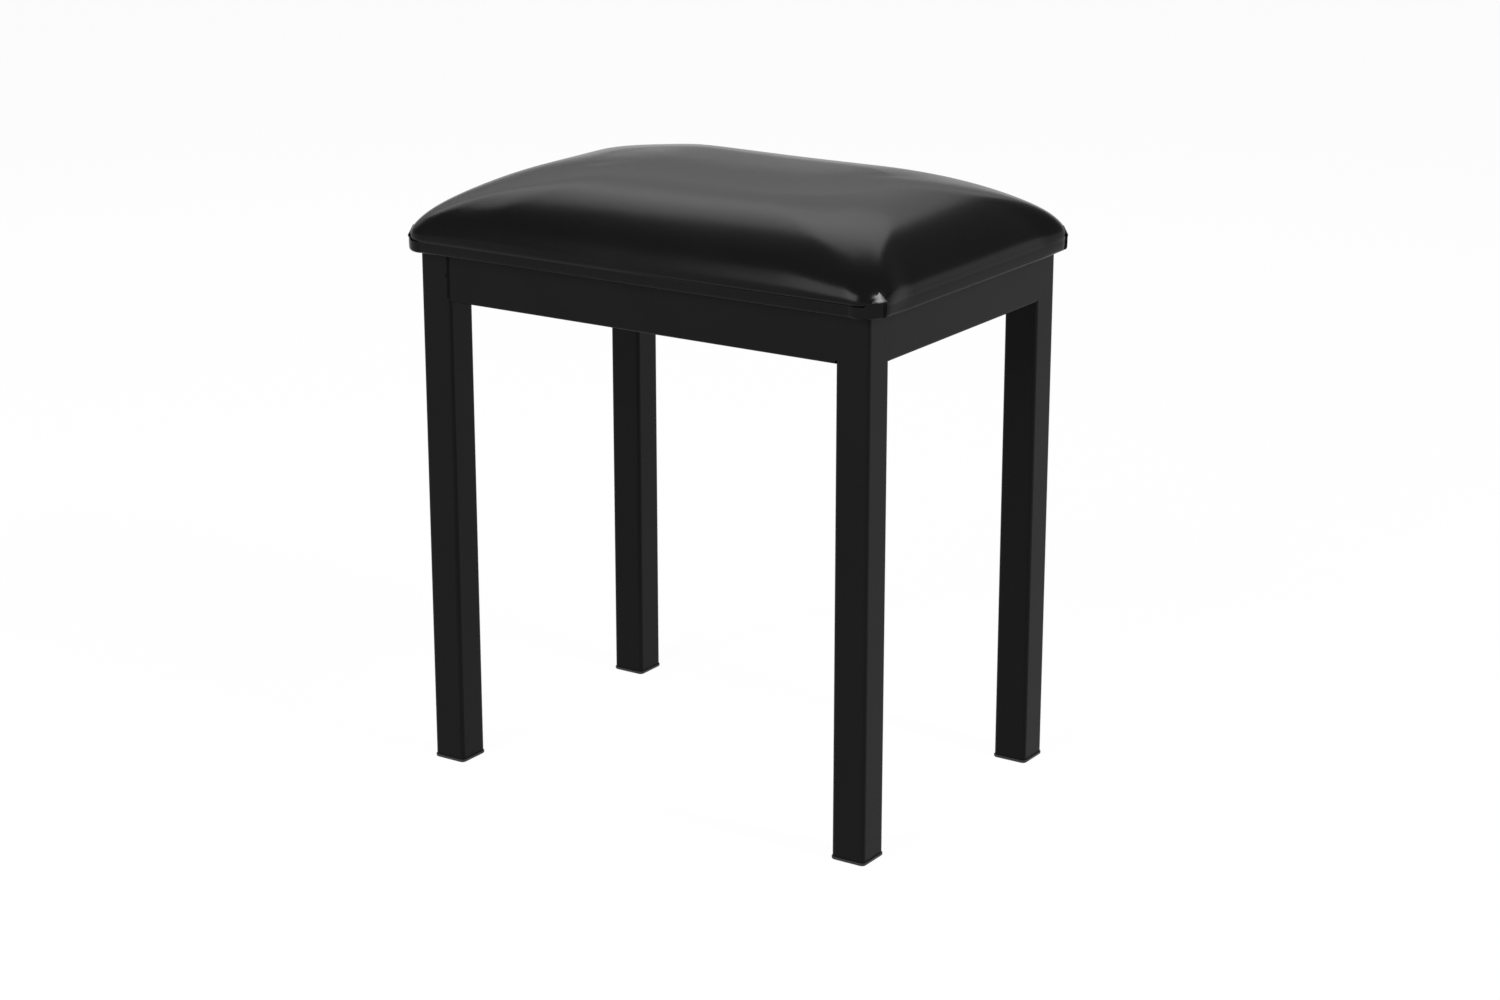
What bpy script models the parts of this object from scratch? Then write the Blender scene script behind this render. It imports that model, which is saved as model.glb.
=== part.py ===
"""A keyboard bench: a crowned vinyl pad on a steel frame that comes apart for shipping.

Two welded end frames, each of two legs and a short rail, are joined by two bolted long rails.
The pad is a plywood board with foam and a vinyl cover, bolted down onto tabs in the corners.

Metres throughout. X runs along the long side, Y from the front to the back, Z up from the floor.
The origin is on the floor under the middle of the bench.
"""

import math

import bmesh
import bpy

# Frame, measured over the outside of the legs
FRAME_LENGTH = 0.434
FRAME_DEPTH = 0.295
FRAME_HEIGHT = 0.447

# Square tube of the legs
LEG_SIDE = 0.030
LEG_WALL = 0.0015
LEG_CORNER = 0.003

# Rectangular tube of the rails, flush with the outside and the top of the legs
RAIL_HEIGHT = 0.040
RAIL_THICKNESS = 0.020
RAIL_WALL = 0.0015
RAIL_CORNER = 0.002

# Gap left between two pieces that touch
CLEAR = 0.0003

# Plastic foot caps: a flange under the tube and a hollow plug inside it
CAP_FLANGE = 0.0025
CAP_PROUD = 0.0008
CAP_CHAMFER = 0.0006
CAP_PLUG = 0.016
CAP_WALL = 0.002

# All bolts have this thread
BOLT_DIAMETER = 0.006

# Brackets welded to the legs, one behind each end of each long rail
BRACKET_LENGTH = 0.050
BRACKET_HEIGHT = 0.030
BRACKET_THICKNESS = 0.003
BRACKET_END_MARGIN = 0.012
BRACKET_BOLT_PITCH = 0.022

# Threaded inserts in the back wall of the long rails
INSERT_DIAMETER = 0.009
INSERT_FLANGE_DIAMETER = 0.0125
INSERT_FLANGE = 0.0008
INSERT_LENGTH = 0.010

# Button head bolts through the brackets, with a hexagon socket
BUTTON_DIAMETER = 0.0105
BUTTON_HEIGHT = 0.0033
BUTTON_TOP_SHARE = 0.62
BUTTON_SHOULDER_SHARE = 0.72
BUTTON_RIM_SHARE = 0.20
SOCKET_WIDTH = 0.004
SOCKET_DEPTH = 0.0019

# Tabs welded into the corners of the frame, level with its top
TAB_SIDE = 0.042
TAB_CUT = 0.014
TAB_THICKNESS = 0.003

# Hexagon head bolts and washers under the tabs, and tee nuts in the board
HEX_HEAD_WIDTH = 0.010
HEX_HEAD_HEIGHT = 0.004
HEX_HEAD_CHAMFER = 0.0005
HEX_HEAD_FACE_SHARE = 0.92
WASHER_DIAMETER = 0.016
WASHER_THICKNESS = 0.0012
TEE_FLANGE_DIAMETER = 0.019
TEE_FLANGE = 0.0012
TEE_BARREL_DIAMETER = 0.008
TEE_SHORT_OF_BOARD = 0.0015
BOLT_SHORT_OF_TEE = 0.001

# Plywood seat board, with a small bevel round its underside
BOARD_OVERHANG = 0.0102
BOARD_THICKNESS = 0.009
BOARD_CORNER = 0.018
BOARD_EDGE = 0.001

# Foam: it bulges over the board's edge, slopes up over the run and ends in a nearly flat crown
FOAM_THICKNESS = 0.055
FOAM_BULGE = 0.003
FOAM_BULGE_HEIGHT = 0.0022
FOAM_RUN = 0.0955
FOAM_CROWN = 0.001
FOAM_RISE_POWER = 1.45
FOAM_RUN_POWER = 1.40
FOAM_CORNER_GROWTH = 0.22

# Vinyl cover and dust cover
VINYL = 0.001
VINYL_SHOWS_INSIDE = 0.010
RETURN_CORNER = 0.009
DUST_CLOTH = 0.0006

# Faces round a curve
ROUND_SIDES = 24
TUBE_CORNER_SIDES = 3
PAD_CORNER_SIDES = 8
PAD_RISE_STEPS = 8
SMOOTH_BELOW = math.radians(35)

# Most of a half width that a corner's radius may take, so that its ends never meet
ROUNDEST = 0.96

# Smallest radius inside a corner
SHARPEST = 0.0004

# Heights worked out from the sizes above
LEG_BOTTOM = CAP_FLANGE + CLEAR
RAIL_MIDDLE = FRAME_HEIGHT - RAIL_HEIGHT / 2
COVER_BOTTOM = FRAME_HEIGHT + CLEAR
BOARD_BOTTOM = COVER_BOTTOM + VINYL + CLEAR
BOARD_TOP = BOARD_BOTTOM + BOARD_THICKNESS
FOAM_BOTTOM = BOARD_TOP + CLEAR
FOAM_TOP = FOAM_BOTTOM + FOAM_THICKNESS

# The four corners of the bench as (name, sign of X, sign of Y)
CORNERS = (
    ("front_left", -1, -1),
    ("front_right", 1, -1),
    ("back_left", -1, 1),
    ("back_right", 1, 1),
)


def clear_scene():
    for old in list(bpy.data.objects):
        bpy.data.objects.remove(old, do_unlink=True)


def make_material(name, colour, roughness, metallic):
    material = bpy.data.materials.new(name)
    material.use_nodes = True
    shader = material.node_tree.nodes["Principled BSDF"]
    shader.inputs["Base Color"].default_value = (*colour, 1.0)
    shader.inputs["Roughness"].default_value = roughness
    shader.inputs["Metallic"].default_value = metallic
    return material


def rounded_rectangle(half_x, half_y, radius, sides):
    """Points of a rectangle with round corners, anticlockwise, with the given sides to a corner."""
    radius = min(radius, ROUNDEST * half_x, ROUNDEST * half_y)
    points = []
    for turn, (sign_x, sign_y) in enumerate(((1, 1), (-1, 1), (-1, -1), (1, -1))):
        for step in range(sides + 1):
            angle = math.pi / 2 * (turn + step / sides)
            x = sign_x * (half_x - radius) + radius * math.cos(angle)
            y = sign_y * (half_y - radius) + radius * math.sin(angle)
            points.append((x, y))
    return points


def circle(diameter):
    turn = 2 * math.pi / ROUND_SIDES
    radius = diameter / 2
    return [(radius * math.cos(turn * i), radius * math.sin(turn * i)) for i in range(ROUND_SIDES)]


def hexagon(width):
    """A hexagon of the given width over its flats, with as many points as a circle has."""
    points = []
    for i in range(ROUND_SIDES):
        angle = 2 * math.pi * i / ROUND_SIDES
        from_flat = (angle + math.pi / 6) % (math.pi / 3) - math.pi / 6
        radius = width / 2 / math.cos(from_flat)
        points.append((radius * math.cos(angle), radius * math.sin(angle)))
    return points


def add_ring(bm, outline, height):
    return [bm.verts.new((x, y, height)) for x, y in outline]


def add_band(bm, lower, upper):
    """Faces between two rings that have the same number of points."""
    for i in range(len(lower)):
        bm.faces.new((lower[i - 1], lower[i], upper[i], upper[i - 1]))


def loft(outlines, joined=False):
    """A closed skin over a stack of (outline, height) rings.

    The ends are filled, or else the last ring is joined to the first, which leaves a bore.
    """
    bm = bmesh.new()
    rings = [add_ring(bm, outline, height) for outline, height in outlines]
    for lower, upper in zip(rings, rings[1:]):
        add_band(bm, lower, upper)
    if joined:
        add_band(bm, rings[-1], rings[0])
    else:
        bm.faces.new(rings[0])
        bm.faces.new(rings[-1])
    bmesh.ops.recalc_face_normals(bm, faces=bm.faces)
    return bm


def plate(outline, thickness):
    """A flat plate whose underside is at height zero."""
    return loft([(outline, 0.0), (outline, thickness)])


def add_object(name, bm, material, location, rotation=(0.0, 0.0, 0.0)):
    mesh = bpy.data.meshes.new(name)
    bm.to_mesh(mesh)
    bm.free()
    mesh.shade_smooth()
    mesh.set_sharp_from_angle(angle=SMOOTH_BELOW)
    mesh.materials.append(material)
    made = bpy.data.objects.new(name, mesh)
    bpy.context.scene.collection.objects.link(made)
    made.location = location
    made.rotation_euler = rotation
    made.parent = bench
    return made


def add_cutter(name, bm, location, rotation=(0.0, 0.0, 0.0)):
    cutter = add_object(name, bm, steel, location, rotation)
    cutter.hide_render = True
    cutter.display_type = "WIRE"
    return cutter


def cut(target, cutter):
    hole = target.modifiers.new(cutter.name, "BOOLEAN")
    hole.operation = "DIFFERENCE"
    hole.solver = "EXACT"
    hole.object = cutter


def inside_corner(corner, wall):
    """Radius inside a tube's corner: a thick wall leaves it nearly sharp."""
    return max(corner - wall, SHARPEST)


def tube(width, depth, wall, corner, length):
    """A straight tube of rectangular section, from height zero to its length."""
    outer = rounded_rectangle(width / 2, depth / 2, corner, TUBE_CORNER_SIDES)
    bore_corner = inside_corner(corner, wall)
    inner = rounded_rectangle(width / 2 - wall, depth / 2 - wall, bore_corner, TUBE_CORNER_SIDES)
    return loft([(outer, 0.0), (outer, length), (inner, length), (inner, 0.0)], joined=True)


def corner_place(sign_x, sign_y, inset_x, inset_y):
    """A place measured inwards from the outside corner of a leg."""
    return sign_x * (FRAME_LENGTH / 2 - inset_x), sign_y * (FRAME_DEPTH / 2 - inset_y)


def make_legs():
    for corner, sign_x, sign_y in CORNERS:
        x, y = corner_place(sign_x, sign_y, LEG_SIDE / 2, LEG_SIDE / 2)
        body = tube(LEG_SIDE, LEG_SIDE, LEG_WALL, LEG_CORNER, FRAME_HEIGHT - LEG_BOTTOM)
        add_object("leg_" + corner, body, steel, (x, y, LEG_BOTTOM))


def make_foot_caps():
    flange = LEG_SIDE / 2 + CAP_PROUD
    flange_corner = LEG_CORNER + CAP_PROUD
    plug = LEG_SIDE / 2 - LEG_WALL - CLEAR
    plug_corner = inside_corner(LEG_CORNER, LEG_WALL)
    bore = plug - CAP_WALL

    def square(half, corner):
        return rounded_rectangle(half, half, corner, TUBE_CORNER_SIDES)

    for corner, sign_x, sign_y in CORNERS:
        x, y = corner_place(sign_x, sign_y, LEG_SIDE / 2, LEG_SIDE / 2)
        body = loft([
            (square(flange - CAP_CHAMFER, flange_corner - CAP_CHAMFER), 0.0),
            (square(flange, flange_corner), CAP_CHAMFER),
            (square(flange, flange_corner), CAP_FLANGE),
            (square(plug, plug_corner), CAP_FLANGE),
            (square(plug, plug_corner), CAP_FLANGE + CAP_PLUG),
            (square(bore, plug_corner), CAP_FLANGE + CAP_PLUG),
            (square(bore, plug_corner), CAP_FLANGE),
        ])
        add_object("foot_cap_" + corner, body, plastic, (x, y, 0.0))


def make_short_rails():
    length = FRAME_DEPTH - 2 * (LEG_SIDE + CLEAR)
    for side, sign_x in (("left", -1), ("right", 1)):
        x = sign_x * (FRAME_LENGTH - RAIL_THICKNESS) / 2
        body = tube(RAIL_THICKNESS, RAIL_HEIGHT, RAIL_WALL, RAIL_CORNER, length)
        lying = (math.pi / 2, 0.0, 0.0)
        add_object("rail_" + side, body, steel, (x, length / 2, RAIL_MIDDLE), lying)


def bracket_bolt_places():
    """Distances of a bracket's two bolts from the outside of the leg, along the long rail."""
    outer = LEG_SIDE + CLEAR + BRACKET_LENGTH - BRACKET_END_MARGIN
    return outer - BRACKET_BOLT_PITCH, outer


def insert_hole(side, sign_x, sign_y, inset):
    """Cuts the back wall of a long rail for one threaded insert."""
    depth = RAIL_WALL + 2 * CLEAR
    hole = circle(INSERT_DIAMETER + 2 * CLEAR)
    x, y = corner_place(sign_x, sign_y, inset, RAIL_THICKNESS + CLEAR)
    name = "cut_rail_%s_%s_%d" % (side, "right" if sign_x > 0 else "left", round(inset * 1000))
    towards_outside = (-sign_y * math.pi / 2, 0.0, 0.0)
    return add_cutter(name, plate(hole, depth), (x, y, RAIL_MIDDLE), towards_outside)


def make_long_rails():
    length = FRAME_LENGTH - 2 * (LEG_SIDE + CLEAR)
    for side, sign_y in (("front", -1), ("back", 1)):
        y = sign_y * (FRAME_DEPTH - RAIL_THICKNESS) / 2
        body = tube(RAIL_HEIGHT, RAIL_THICKNESS, RAIL_WALL, RAIL_CORNER, length)
        lying = (0.0, math.pi / 2, 0.0)
        rail = add_object("rail_" + side, body, steel, (-length / 2, y, RAIL_MIDDLE), lying)
        for sign_x in (-1, 1):
            for inset in bracket_bolt_places():
                cut(rail, insert_hole(side, sign_x, sign_y, inset))


def behind_rail(sign_x, sign_y, inset_x, behind):
    """A place on the inner side of a long rail, and the turn that points +Z out of the bench."""
    x, y = corner_place(sign_x, sign_y, inset_x, RAIL_THICKNESS + behind)
    return (x, y, RAIL_MIDDLE), (-sign_y * math.pi / 2, 0.0, 0.0)


def make_inserts():
    body = INSERT_DIAMETER
    bore = BOLT_DIAMETER + 2 * CLEAR
    for corner, sign_x, sign_y in CORNERS:
        for place, inset in zip(("near", "far"), bracket_bolt_places()):
            where, turn = behind_rail(sign_x, sign_y, inset, CLEAR + INSERT_FLANGE)
            shell = loft([
                (circle(bore), 0.0),
                (circle(INSERT_FLANGE_DIAMETER), 0.0),
                (circle(INSERT_FLANGE_DIAMETER), INSERT_FLANGE),
                (circle(body), INSERT_FLANGE),
                (circle(body), INSERT_FLANGE + INSERT_LENGTH),
                (circle(bore), INSERT_FLANGE + INSERT_LENGTH),
            ], joined=True)
            add_object("rail_insert_%s_%s" % (corner, place), shell, zinc, where, turn)


def make_brackets():
    back = 2 * CLEAR + INSERT_FLANGE + BRACKET_THICKNESS
    half_length = BRACKET_LENGTH / 2
    outline = rounded_rectangle(half_length, BRACKET_HEIGHT / 2, BRACKET_THICKNESS, TUBE_CORNER_SIDES)
    hole = circle(BOLT_DIAMETER + 2 * CLEAR)
    for corner, sign_x, sign_y in CORNERS:
        middle = LEG_SIDE + CLEAR + half_length
        where, turn = behind_rail(sign_x, sign_y, middle, back)
        body = plate(outline, BRACKET_THICKNESS)
        bracket = add_object("rail_bracket_" + corner, body, steel, where, turn)
        for place, inset in zip(("near", "far"), bracket_bolt_places()):
            below, turn = behind_rail(sign_x, sign_y, inset, back + CLEAR)
            drill = plate(hole, BRACKET_THICKNESS + 2 * CLEAR)
            cut(bracket, add_cutter("cut_bracket_%s_%s" % (corner, place), drill, below, turn))


def make_rail_bolts():
    """The head is at the bottom of the loft and the shank points out of the bench."""
    seat = 3 * CLEAR + INSERT_FLANGE + BRACKET_THICKNESS
    shank = BRACKET_THICKNESS + 2 * CLEAR + INSERT_FLANGE + INSERT_LENGTH
    top_of_head = BUTTON_DIAMETER * BUTTON_TOP_SHARE
    shoulder = (top_of_head + BUTTON_DIAMETER) / 2
    for corner, sign_x, sign_y in CORNERS:
        for place, inset in zip(("near", "far"), bracket_bolt_places()):
            where, turn = behind_rail(sign_x, sign_y, inset, seat)
            body = loft([
                (hexagon(SOCKET_WIDTH), SOCKET_DEPTH - BUTTON_HEIGHT),
                (hexagon(SOCKET_WIDTH), -BUTTON_HEIGHT),
                (circle(top_of_head), -BUTTON_HEIGHT),
                (circle(shoulder), -BUTTON_HEIGHT * BUTTON_SHOULDER_SHARE),
                (circle(BUTTON_DIAMETER), -BUTTON_HEIGHT * BUTTON_RIM_SHARE),
                (circle(BUTTON_DIAMETER), 0.0),
                (circle(BOLT_DIAMETER), 0.0),
                (circle(BOLT_DIAMETER), shank),
            ])
            add_object("rail_bolt_%s_%s" % (corner, place), body, zinc, where, turn)


def tab_bolt_place(sign_x, sign_y):
    return corner_place(
        sign_x, sign_y, RAIL_THICKNESS + CLEAR + TAB_SIDE / 2, LEG_SIDE + CLEAR + TAB_SIDE / 2
    )


def make_tabs():
    """Square plates against the short rail and the leg, with the free corner cut off."""
    half = TAB_SIDE / 2
    hole = circle(BOLT_DIAMETER + 2 * CLEAR)
    for corner, sign_x, sign_y in CORNERS:
        x, y = tab_bolt_place(sign_x, sign_y)
        outline = [
            (sign_x * half, sign_y * half),
            (sign_x * half, -sign_y * half),
            (sign_x * (TAB_CUT - half), -sign_y * half),
            (-sign_x * half, sign_y * (TAB_CUT - half)),
            (-sign_x * half, sign_y * half),
        ]
        bottom = FRAME_HEIGHT - TAB_THICKNESS
        tab = add_object("seat_tab_" + corner, plate(outline, TAB_THICKNESS), steel, (x, y, bottom))
        drill = plate(hole, TAB_THICKNESS + 2 * CLEAR)
        cut(tab, add_cutter("cut_tab_" + corner, drill, (x, y, bottom - CLEAR)))


def make_seat_bolts():
    washer_top = FRAME_HEIGHT - TAB_THICKNESS - CLEAR
    head_top = washer_top - WASHER_THICKNESS - CLEAR
    bolt_tip = BOARD_TOP - BOLT_SHORT_OF_TEE
    bore = BOLT_DIAMETER + 2 * CLEAR
    for corner, sign_x, sign_y in CORNERS:
        x, y = tab_bolt_place(sign_x, sign_y)
        bolt = loft([
            (circle(HEX_HEAD_WIDTH * HEX_HEAD_FACE_SHARE), -HEX_HEAD_HEIGHT),
            (hexagon(HEX_HEAD_WIDTH), HEX_HEAD_CHAMFER - HEX_HEAD_HEIGHT),
            (hexagon(HEX_HEAD_WIDTH), 0.0),
            (circle(BOLT_DIAMETER), 0.0),
            (circle(BOLT_DIAMETER), bolt_tip - head_top),
        ])
        add_object("seat_bolt_" + corner, bolt, zinc, (x, y, head_top))
        washer = loft([
            (circle(bore), 0.0),
            (circle(WASHER_DIAMETER), 0.0),
            (circle(WASHER_DIAMETER), WASHER_THICKNESS),
            (circle(bore), WASHER_THICKNESS),
        ], joined=True)
        add_object("seat_washer_" + corner, washer, zinc, (x, y, washer_top - WASHER_THICKNESS))


def make_tee_nuts():
    barrel = BOARD_THICKNESS - TEE_SHORT_OF_BOARD
    bore = BOLT_DIAMETER + 2 * CLEAR
    for corner, sign_x, sign_y in CORNERS:
        x, y = tab_bolt_place(sign_x, sign_y)
        nut = loft([
            (circle(bore), 0.0),
            (circle(TEE_FLANGE_DIAMETER), 0.0),
            (circle(TEE_FLANGE_DIAMETER), -TEE_FLANGE),
            (circle(TEE_BARREL_DIAMETER), -TEE_FLANGE),
            (circle(TEE_BARREL_DIAMETER), -barrel),
            (circle(bore), -barrel),
        ], joined=True)
        add_object("tee_nut_" + corner, nut, zinc, (x, y, BOARD_TOP))


def seat_hole(corner, sign_x, sign_y):
    """Cuts the board for a tee nut, and the dust cover under it for the bolt."""
    x, y = tab_bolt_place(sign_x, sign_y)
    barrel = circle(TEE_BARREL_DIAMETER + 2 * CLEAR)
    flange = circle(TEE_FLANGE_DIAMETER + 2 * CLEAR)
    start = BOARD_BOTTOM - VINYL - CLEAR
    floor = BOARD_TOP - TEE_FLANGE - CLEAR
    drill = loft([(barrel, start), (barrel, floor), (flange, floor), (flange, BOARD_TOP + CLEAR)])
    return add_cutter("cut_seat_" + corner, drill, (x, y, 0.0))


def pad_outline(past_frame, corner):
    """The pad's outline where it stands past the frame by the given distance."""
    half_x = FRAME_LENGTH / 2 + past_frame
    half_y = FRAME_DEPTH / 2 + past_frame
    return rounded_rectangle(half_x, half_y, corner, PAD_CORNER_SIDES)


def foam_profile():
    """(past the frame, height, corner radius) from the bulge up to the edge of the crown."""
    widest = BOARD_OVERHANG + FOAM_BULGE
    bulge_height = BOARD_TOP + FOAM_BULGE_HEIGHT
    bulge_corner = BOARD_CORNER + FOAM_BULGE
    rise = FOAM_TOP - FOAM_CROWN - bulge_height
    profile = []
    for step in range(PAD_RISE_STEPS + 1):
        angle = math.pi / 2 * step / PAD_RISE_STEPS
        inset = FOAM_RUN * (1 - max(math.cos(angle), 0.0) ** FOAM_RUN_POWER)
        height = bulge_height + rise * math.sin(angle) ** FOAM_RISE_POWER
        profile.append((widest - inset, height, bulge_corner + FOAM_CORNER_GROWTH * inset))
    return profile


def crown_point():
    """The small flat top of the crown, drawn in to half way between its edge and the middle."""
    edge, _, corner = foam_profile()[-1]
    inwards = (FRAME_DEPTH / 2 + edge) / 2
    return edge - inwards, FOAM_TOP, corner / 2


def swell(profile, distance):
    """Moves a profile outwards by a distance, square to itself. It starts flat and ends flat."""
    flats = [(profile[0][0] - 1.0, profile[0][1], 0.0)]
    flats += list(profile)
    flats += [(profile[-1][0] - 1.0, profile[-1][1], 0.0)]
    moved = []
    for before, here, after in zip(flats, flats[1:], flats[2:]):
        normals = []
        for start, end in ((before, here), (here, after)):
            run = end[0] - start[0]
            rise = end[1] - start[1]
            length = math.hypot(run, rise)
            normals.append((rise / length, -run / length))
        out = normals[0][0] + normals[1][0]
        up = normals[0][1] + normals[1][1]
        spread = distance * 2 / (out * out + up * up)
        moved.append((here[0] + out * spread, here[1] + up * spread, here[2] + out * spread))
    return moved


def stack(profile):
    return [(pad_outline(past, corner), height) for past, height, corner in profile]


def make_board():
    top = (BOARD_OVERHANG, BOARD_TOP, BOARD_CORNER)
    bevel_foot = (BOARD_OVERHANG - BOARD_EDGE, BOARD_BOTTOM, BOARD_CORNER - BOARD_EDGE)
    bevel_head = (BOARD_OVERHANG, BOARD_BOTTOM + BOARD_EDGE, BOARD_CORNER)
    body = loft(stack([bevel_foot, bevel_head, top]))
    return add_object("seat_board", body, plywood, (0.0, 0.0, 0.0))


def make_foam():
    base = (BOARD_OVERHANG, FOAM_BOTTOM, BOARD_CORNER)
    rings = stack([base] + foam_profile() + [crown_point()])
    add_object("seat_foam", loft(rings), foam, (0.0, 0.0, 0.0))


def return_edge():
    """How far the cover's turned-under edge lies past the frame: it is well inside, so below zero."""
    return -(RAIL_THICKNESS + VINYL_SHOWS_INSIDE)


def make_cover():
    """The vinyl follows the board and the foam and is turned in under the board."""
    core = [
        (return_edge(), BOARD_BOTTOM, RETURN_CORNER),
        (BOARD_OVERHANG - BOARD_EDGE, BOARD_BOTTOM, BOARD_CORNER - BOARD_EDGE),
        (BOARD_OVERHANG, BOARD_BOTTOM + BOARD_EDGE, BOARD_CORNER),
        (BOARD_OVERHANG, BOARD_TOP, BOARD_CORNER),
    ]
    core += foam_profile() + [crown_point()]
    inside = swell(core, CLEAR)
    outside = swell(core, CLEAR + VINYL)
    rings = stack(outside[::-1]) + stack(inside)
    add_object("seat_cover", loft(rings), vinyl, (0.0, 0.0, 0.0))


def make_dust_cover():
    top = BOARD_BOTTOM - CLEAR
    outline = pad_outline(return_edge() - CLEAR, RETURN_CORNER)
    return add_object("dust_cover", plate(outline, DUST_CLOTH), cloth, (0.0, 0.0, top - DUST_CLOTH))


def make_pad():
    board = make_board()
    dust_cover = make_dust_cover()
    for corner, sign_x, sign_y in CORNERS:
        drill = seat_hole(corner, sign_x, sign_y)
        cut(board, drill)
        cut(dust_cover, drill)
    make_foam()
    make_cover()
    make_tee_nuts()


def make_frame():
    make_legs()
    make_foot_caps()
    make_short_rails()
    make_long_rails()
    make_inserts()
    make_brackets()
    make_rail_bolts()
    make_tabs()


clear_scene()
steel = make_material("black_powder_coat", (0.012, 0.012, 0.013), 0.45, 0.0)
plastic = make_material("black_plastic", (0.010, 0.010, 0.010), 0.5, 0.0)
zinc = make_material("zinc_plate", (0.62, 0.63, 0.65), 0.35, 1.0)
plywood = make_material("plywood", (0.55, 0.40, 0.24), 0.7, 0.0)
foam = make_material("foam", (0.75, 0.72, 0.55), 0.9, 0.0)
vinyl = make_material("black_vinyl", (0.010, 0.010, 0.011), 0.3, 0.0)
cloth = make_material("black_cloth", (0.02, 0.02, 0.02), 0.9, 0.0)

bench = bpy.data.objects.new("bench", None)
bpy.context.scene.collection.objects.link(bench)

make_frame()
make_pad()
make_seat_bolts()
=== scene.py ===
# %% [markdown]
# # A keyboard bench
#
# A keyboard bench is a fixed stool with a padded seat: two welded end frames of square tube, two
# long rails bolted between them, and a plywood board with foam and vinyl on top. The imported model
# gives the frame, the fasteners and the sizes. This lesson dresses it: it makes the soft pad, the
# cloth under it, the staples and welds, and a finish for every surface.
#
# Everything is in metres. X runs along the long side, Y from the front to the back, Z up.

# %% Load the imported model
import math
import random

import bmesh
import bpy
from mathutils import Matrix, Quaternion, Vector, noise


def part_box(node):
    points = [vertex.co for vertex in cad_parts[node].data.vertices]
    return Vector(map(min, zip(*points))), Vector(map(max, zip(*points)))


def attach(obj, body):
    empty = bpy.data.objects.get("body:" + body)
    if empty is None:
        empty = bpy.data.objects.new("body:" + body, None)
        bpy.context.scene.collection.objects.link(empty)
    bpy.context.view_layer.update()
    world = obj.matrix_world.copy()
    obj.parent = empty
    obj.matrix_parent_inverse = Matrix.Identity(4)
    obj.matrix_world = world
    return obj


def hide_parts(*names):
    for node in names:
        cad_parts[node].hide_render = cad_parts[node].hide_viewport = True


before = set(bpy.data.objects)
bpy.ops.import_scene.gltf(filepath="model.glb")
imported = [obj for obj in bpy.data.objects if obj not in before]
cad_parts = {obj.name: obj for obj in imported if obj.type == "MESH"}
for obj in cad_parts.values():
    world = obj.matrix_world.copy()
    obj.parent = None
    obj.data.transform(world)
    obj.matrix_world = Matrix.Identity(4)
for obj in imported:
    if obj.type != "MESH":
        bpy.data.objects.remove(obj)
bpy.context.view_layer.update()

print("nodes in the frame:", len(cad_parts))

# %% [markdown]
# ## The camera
#
# The photograph looks at the bench from the front right and a little above. Its place was worked
# out from the straight edges of the legs and rails, so the bench fills the picture as it does
# there. A camera looks along its own minus Z, so a quarter turn about X makes it level, less the
# angle by which it looks down.

# %% Camera
CAMERA_PLACE = (1.4061, -2.1076, 0.9996)
CAMERA_TURN = 0.5845
CAMERA_DOWN = 0.2947
FOCAL_PIXELS = 3128.1
PHOTO_WIDTH = 1500
SENSOR_WIDTH = 36.0

scene = bpy.context.scene
camera_data = bpy.data.cameras.new("camera")
camera_data.sensor_width = SENSOR_WIDTH
camera_data.lens = FOCAL_PIXELS / PHOTO_WIDTH * SENSOR_WIDTH
camera = bpy.data.objects.new("camera", camera_data)
scene.collection.objects.link(camera)
camera.location = CAMERA_PLACE
camera.rotation_euler = (math.pi / 2 - CAMERA_DOWN, 0.0, CAMERA_TURN)
scene.camera = camera
print("focal length: %.1f mm" % camera_data.lens)

# %% [markdown]
# ## Sizes
#
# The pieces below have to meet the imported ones, so their sizes are read from the boxes of the
# nodes instead of being typed again. Only what the boxes can't tell is written down, such as the
# radius of a corner. The photograph shows the pad a trifle smaller all round than its packed
# solid, so it is trimmed.

# %% Sizes from the nodes
leg_low, leg_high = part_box("leg_front_right")
rail_low, rail_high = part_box("rail_right")
board_low, board_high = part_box("seat_board")
cover_low, cover_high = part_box("seat_cover")

FRAME_HALF_X = leg_high[0]
FRAME_HALF_Y = -leg_low[1]
FRAME_TOP = leg_high[2]
LEG_SIDE = leg_high[0] - leg_low[0]
RAIL_THICKNESS = rail_high[0] - rail_low[0]
RAIL_BOTTOM = rail_low[2]
PAD_TRIM = 0.0022
PAD_HALF_X = cover_high[0] - PAD_TRIM
PAD_HALF_Y = cover_high[1] - PAD_TRIM
PAD_BOTTOM = cover_low[2]
PAD_TOP = cover_high[2]
BOARD_HALF_X = board_high[0]
BOARD_BOTTOM = board_low[2]
BOARD_TOP = board_high[2]
CORNERS = [
    ("front_left", -1, -1),
    ("front_right", 1, -1),
    ("back_left", -1, 1),
    ("back_right", 1, 1),
]
print("pad: %.0f x %.0f mm" % (2000 * PAD_HALF_X, 2000 * PAD_HALF_Y))

# %% [markdown]
# ## Shader maths
#
# A procedural finish is mostly arithmetic on patterns. In the node editor each sum is a Math node.
# Here a small class wraps a socket and overloads Python's operators, so that an expression such as
# 1 - mask adds the nodes by itself. Everything that isn't arithmetic comes from one method.

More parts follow.
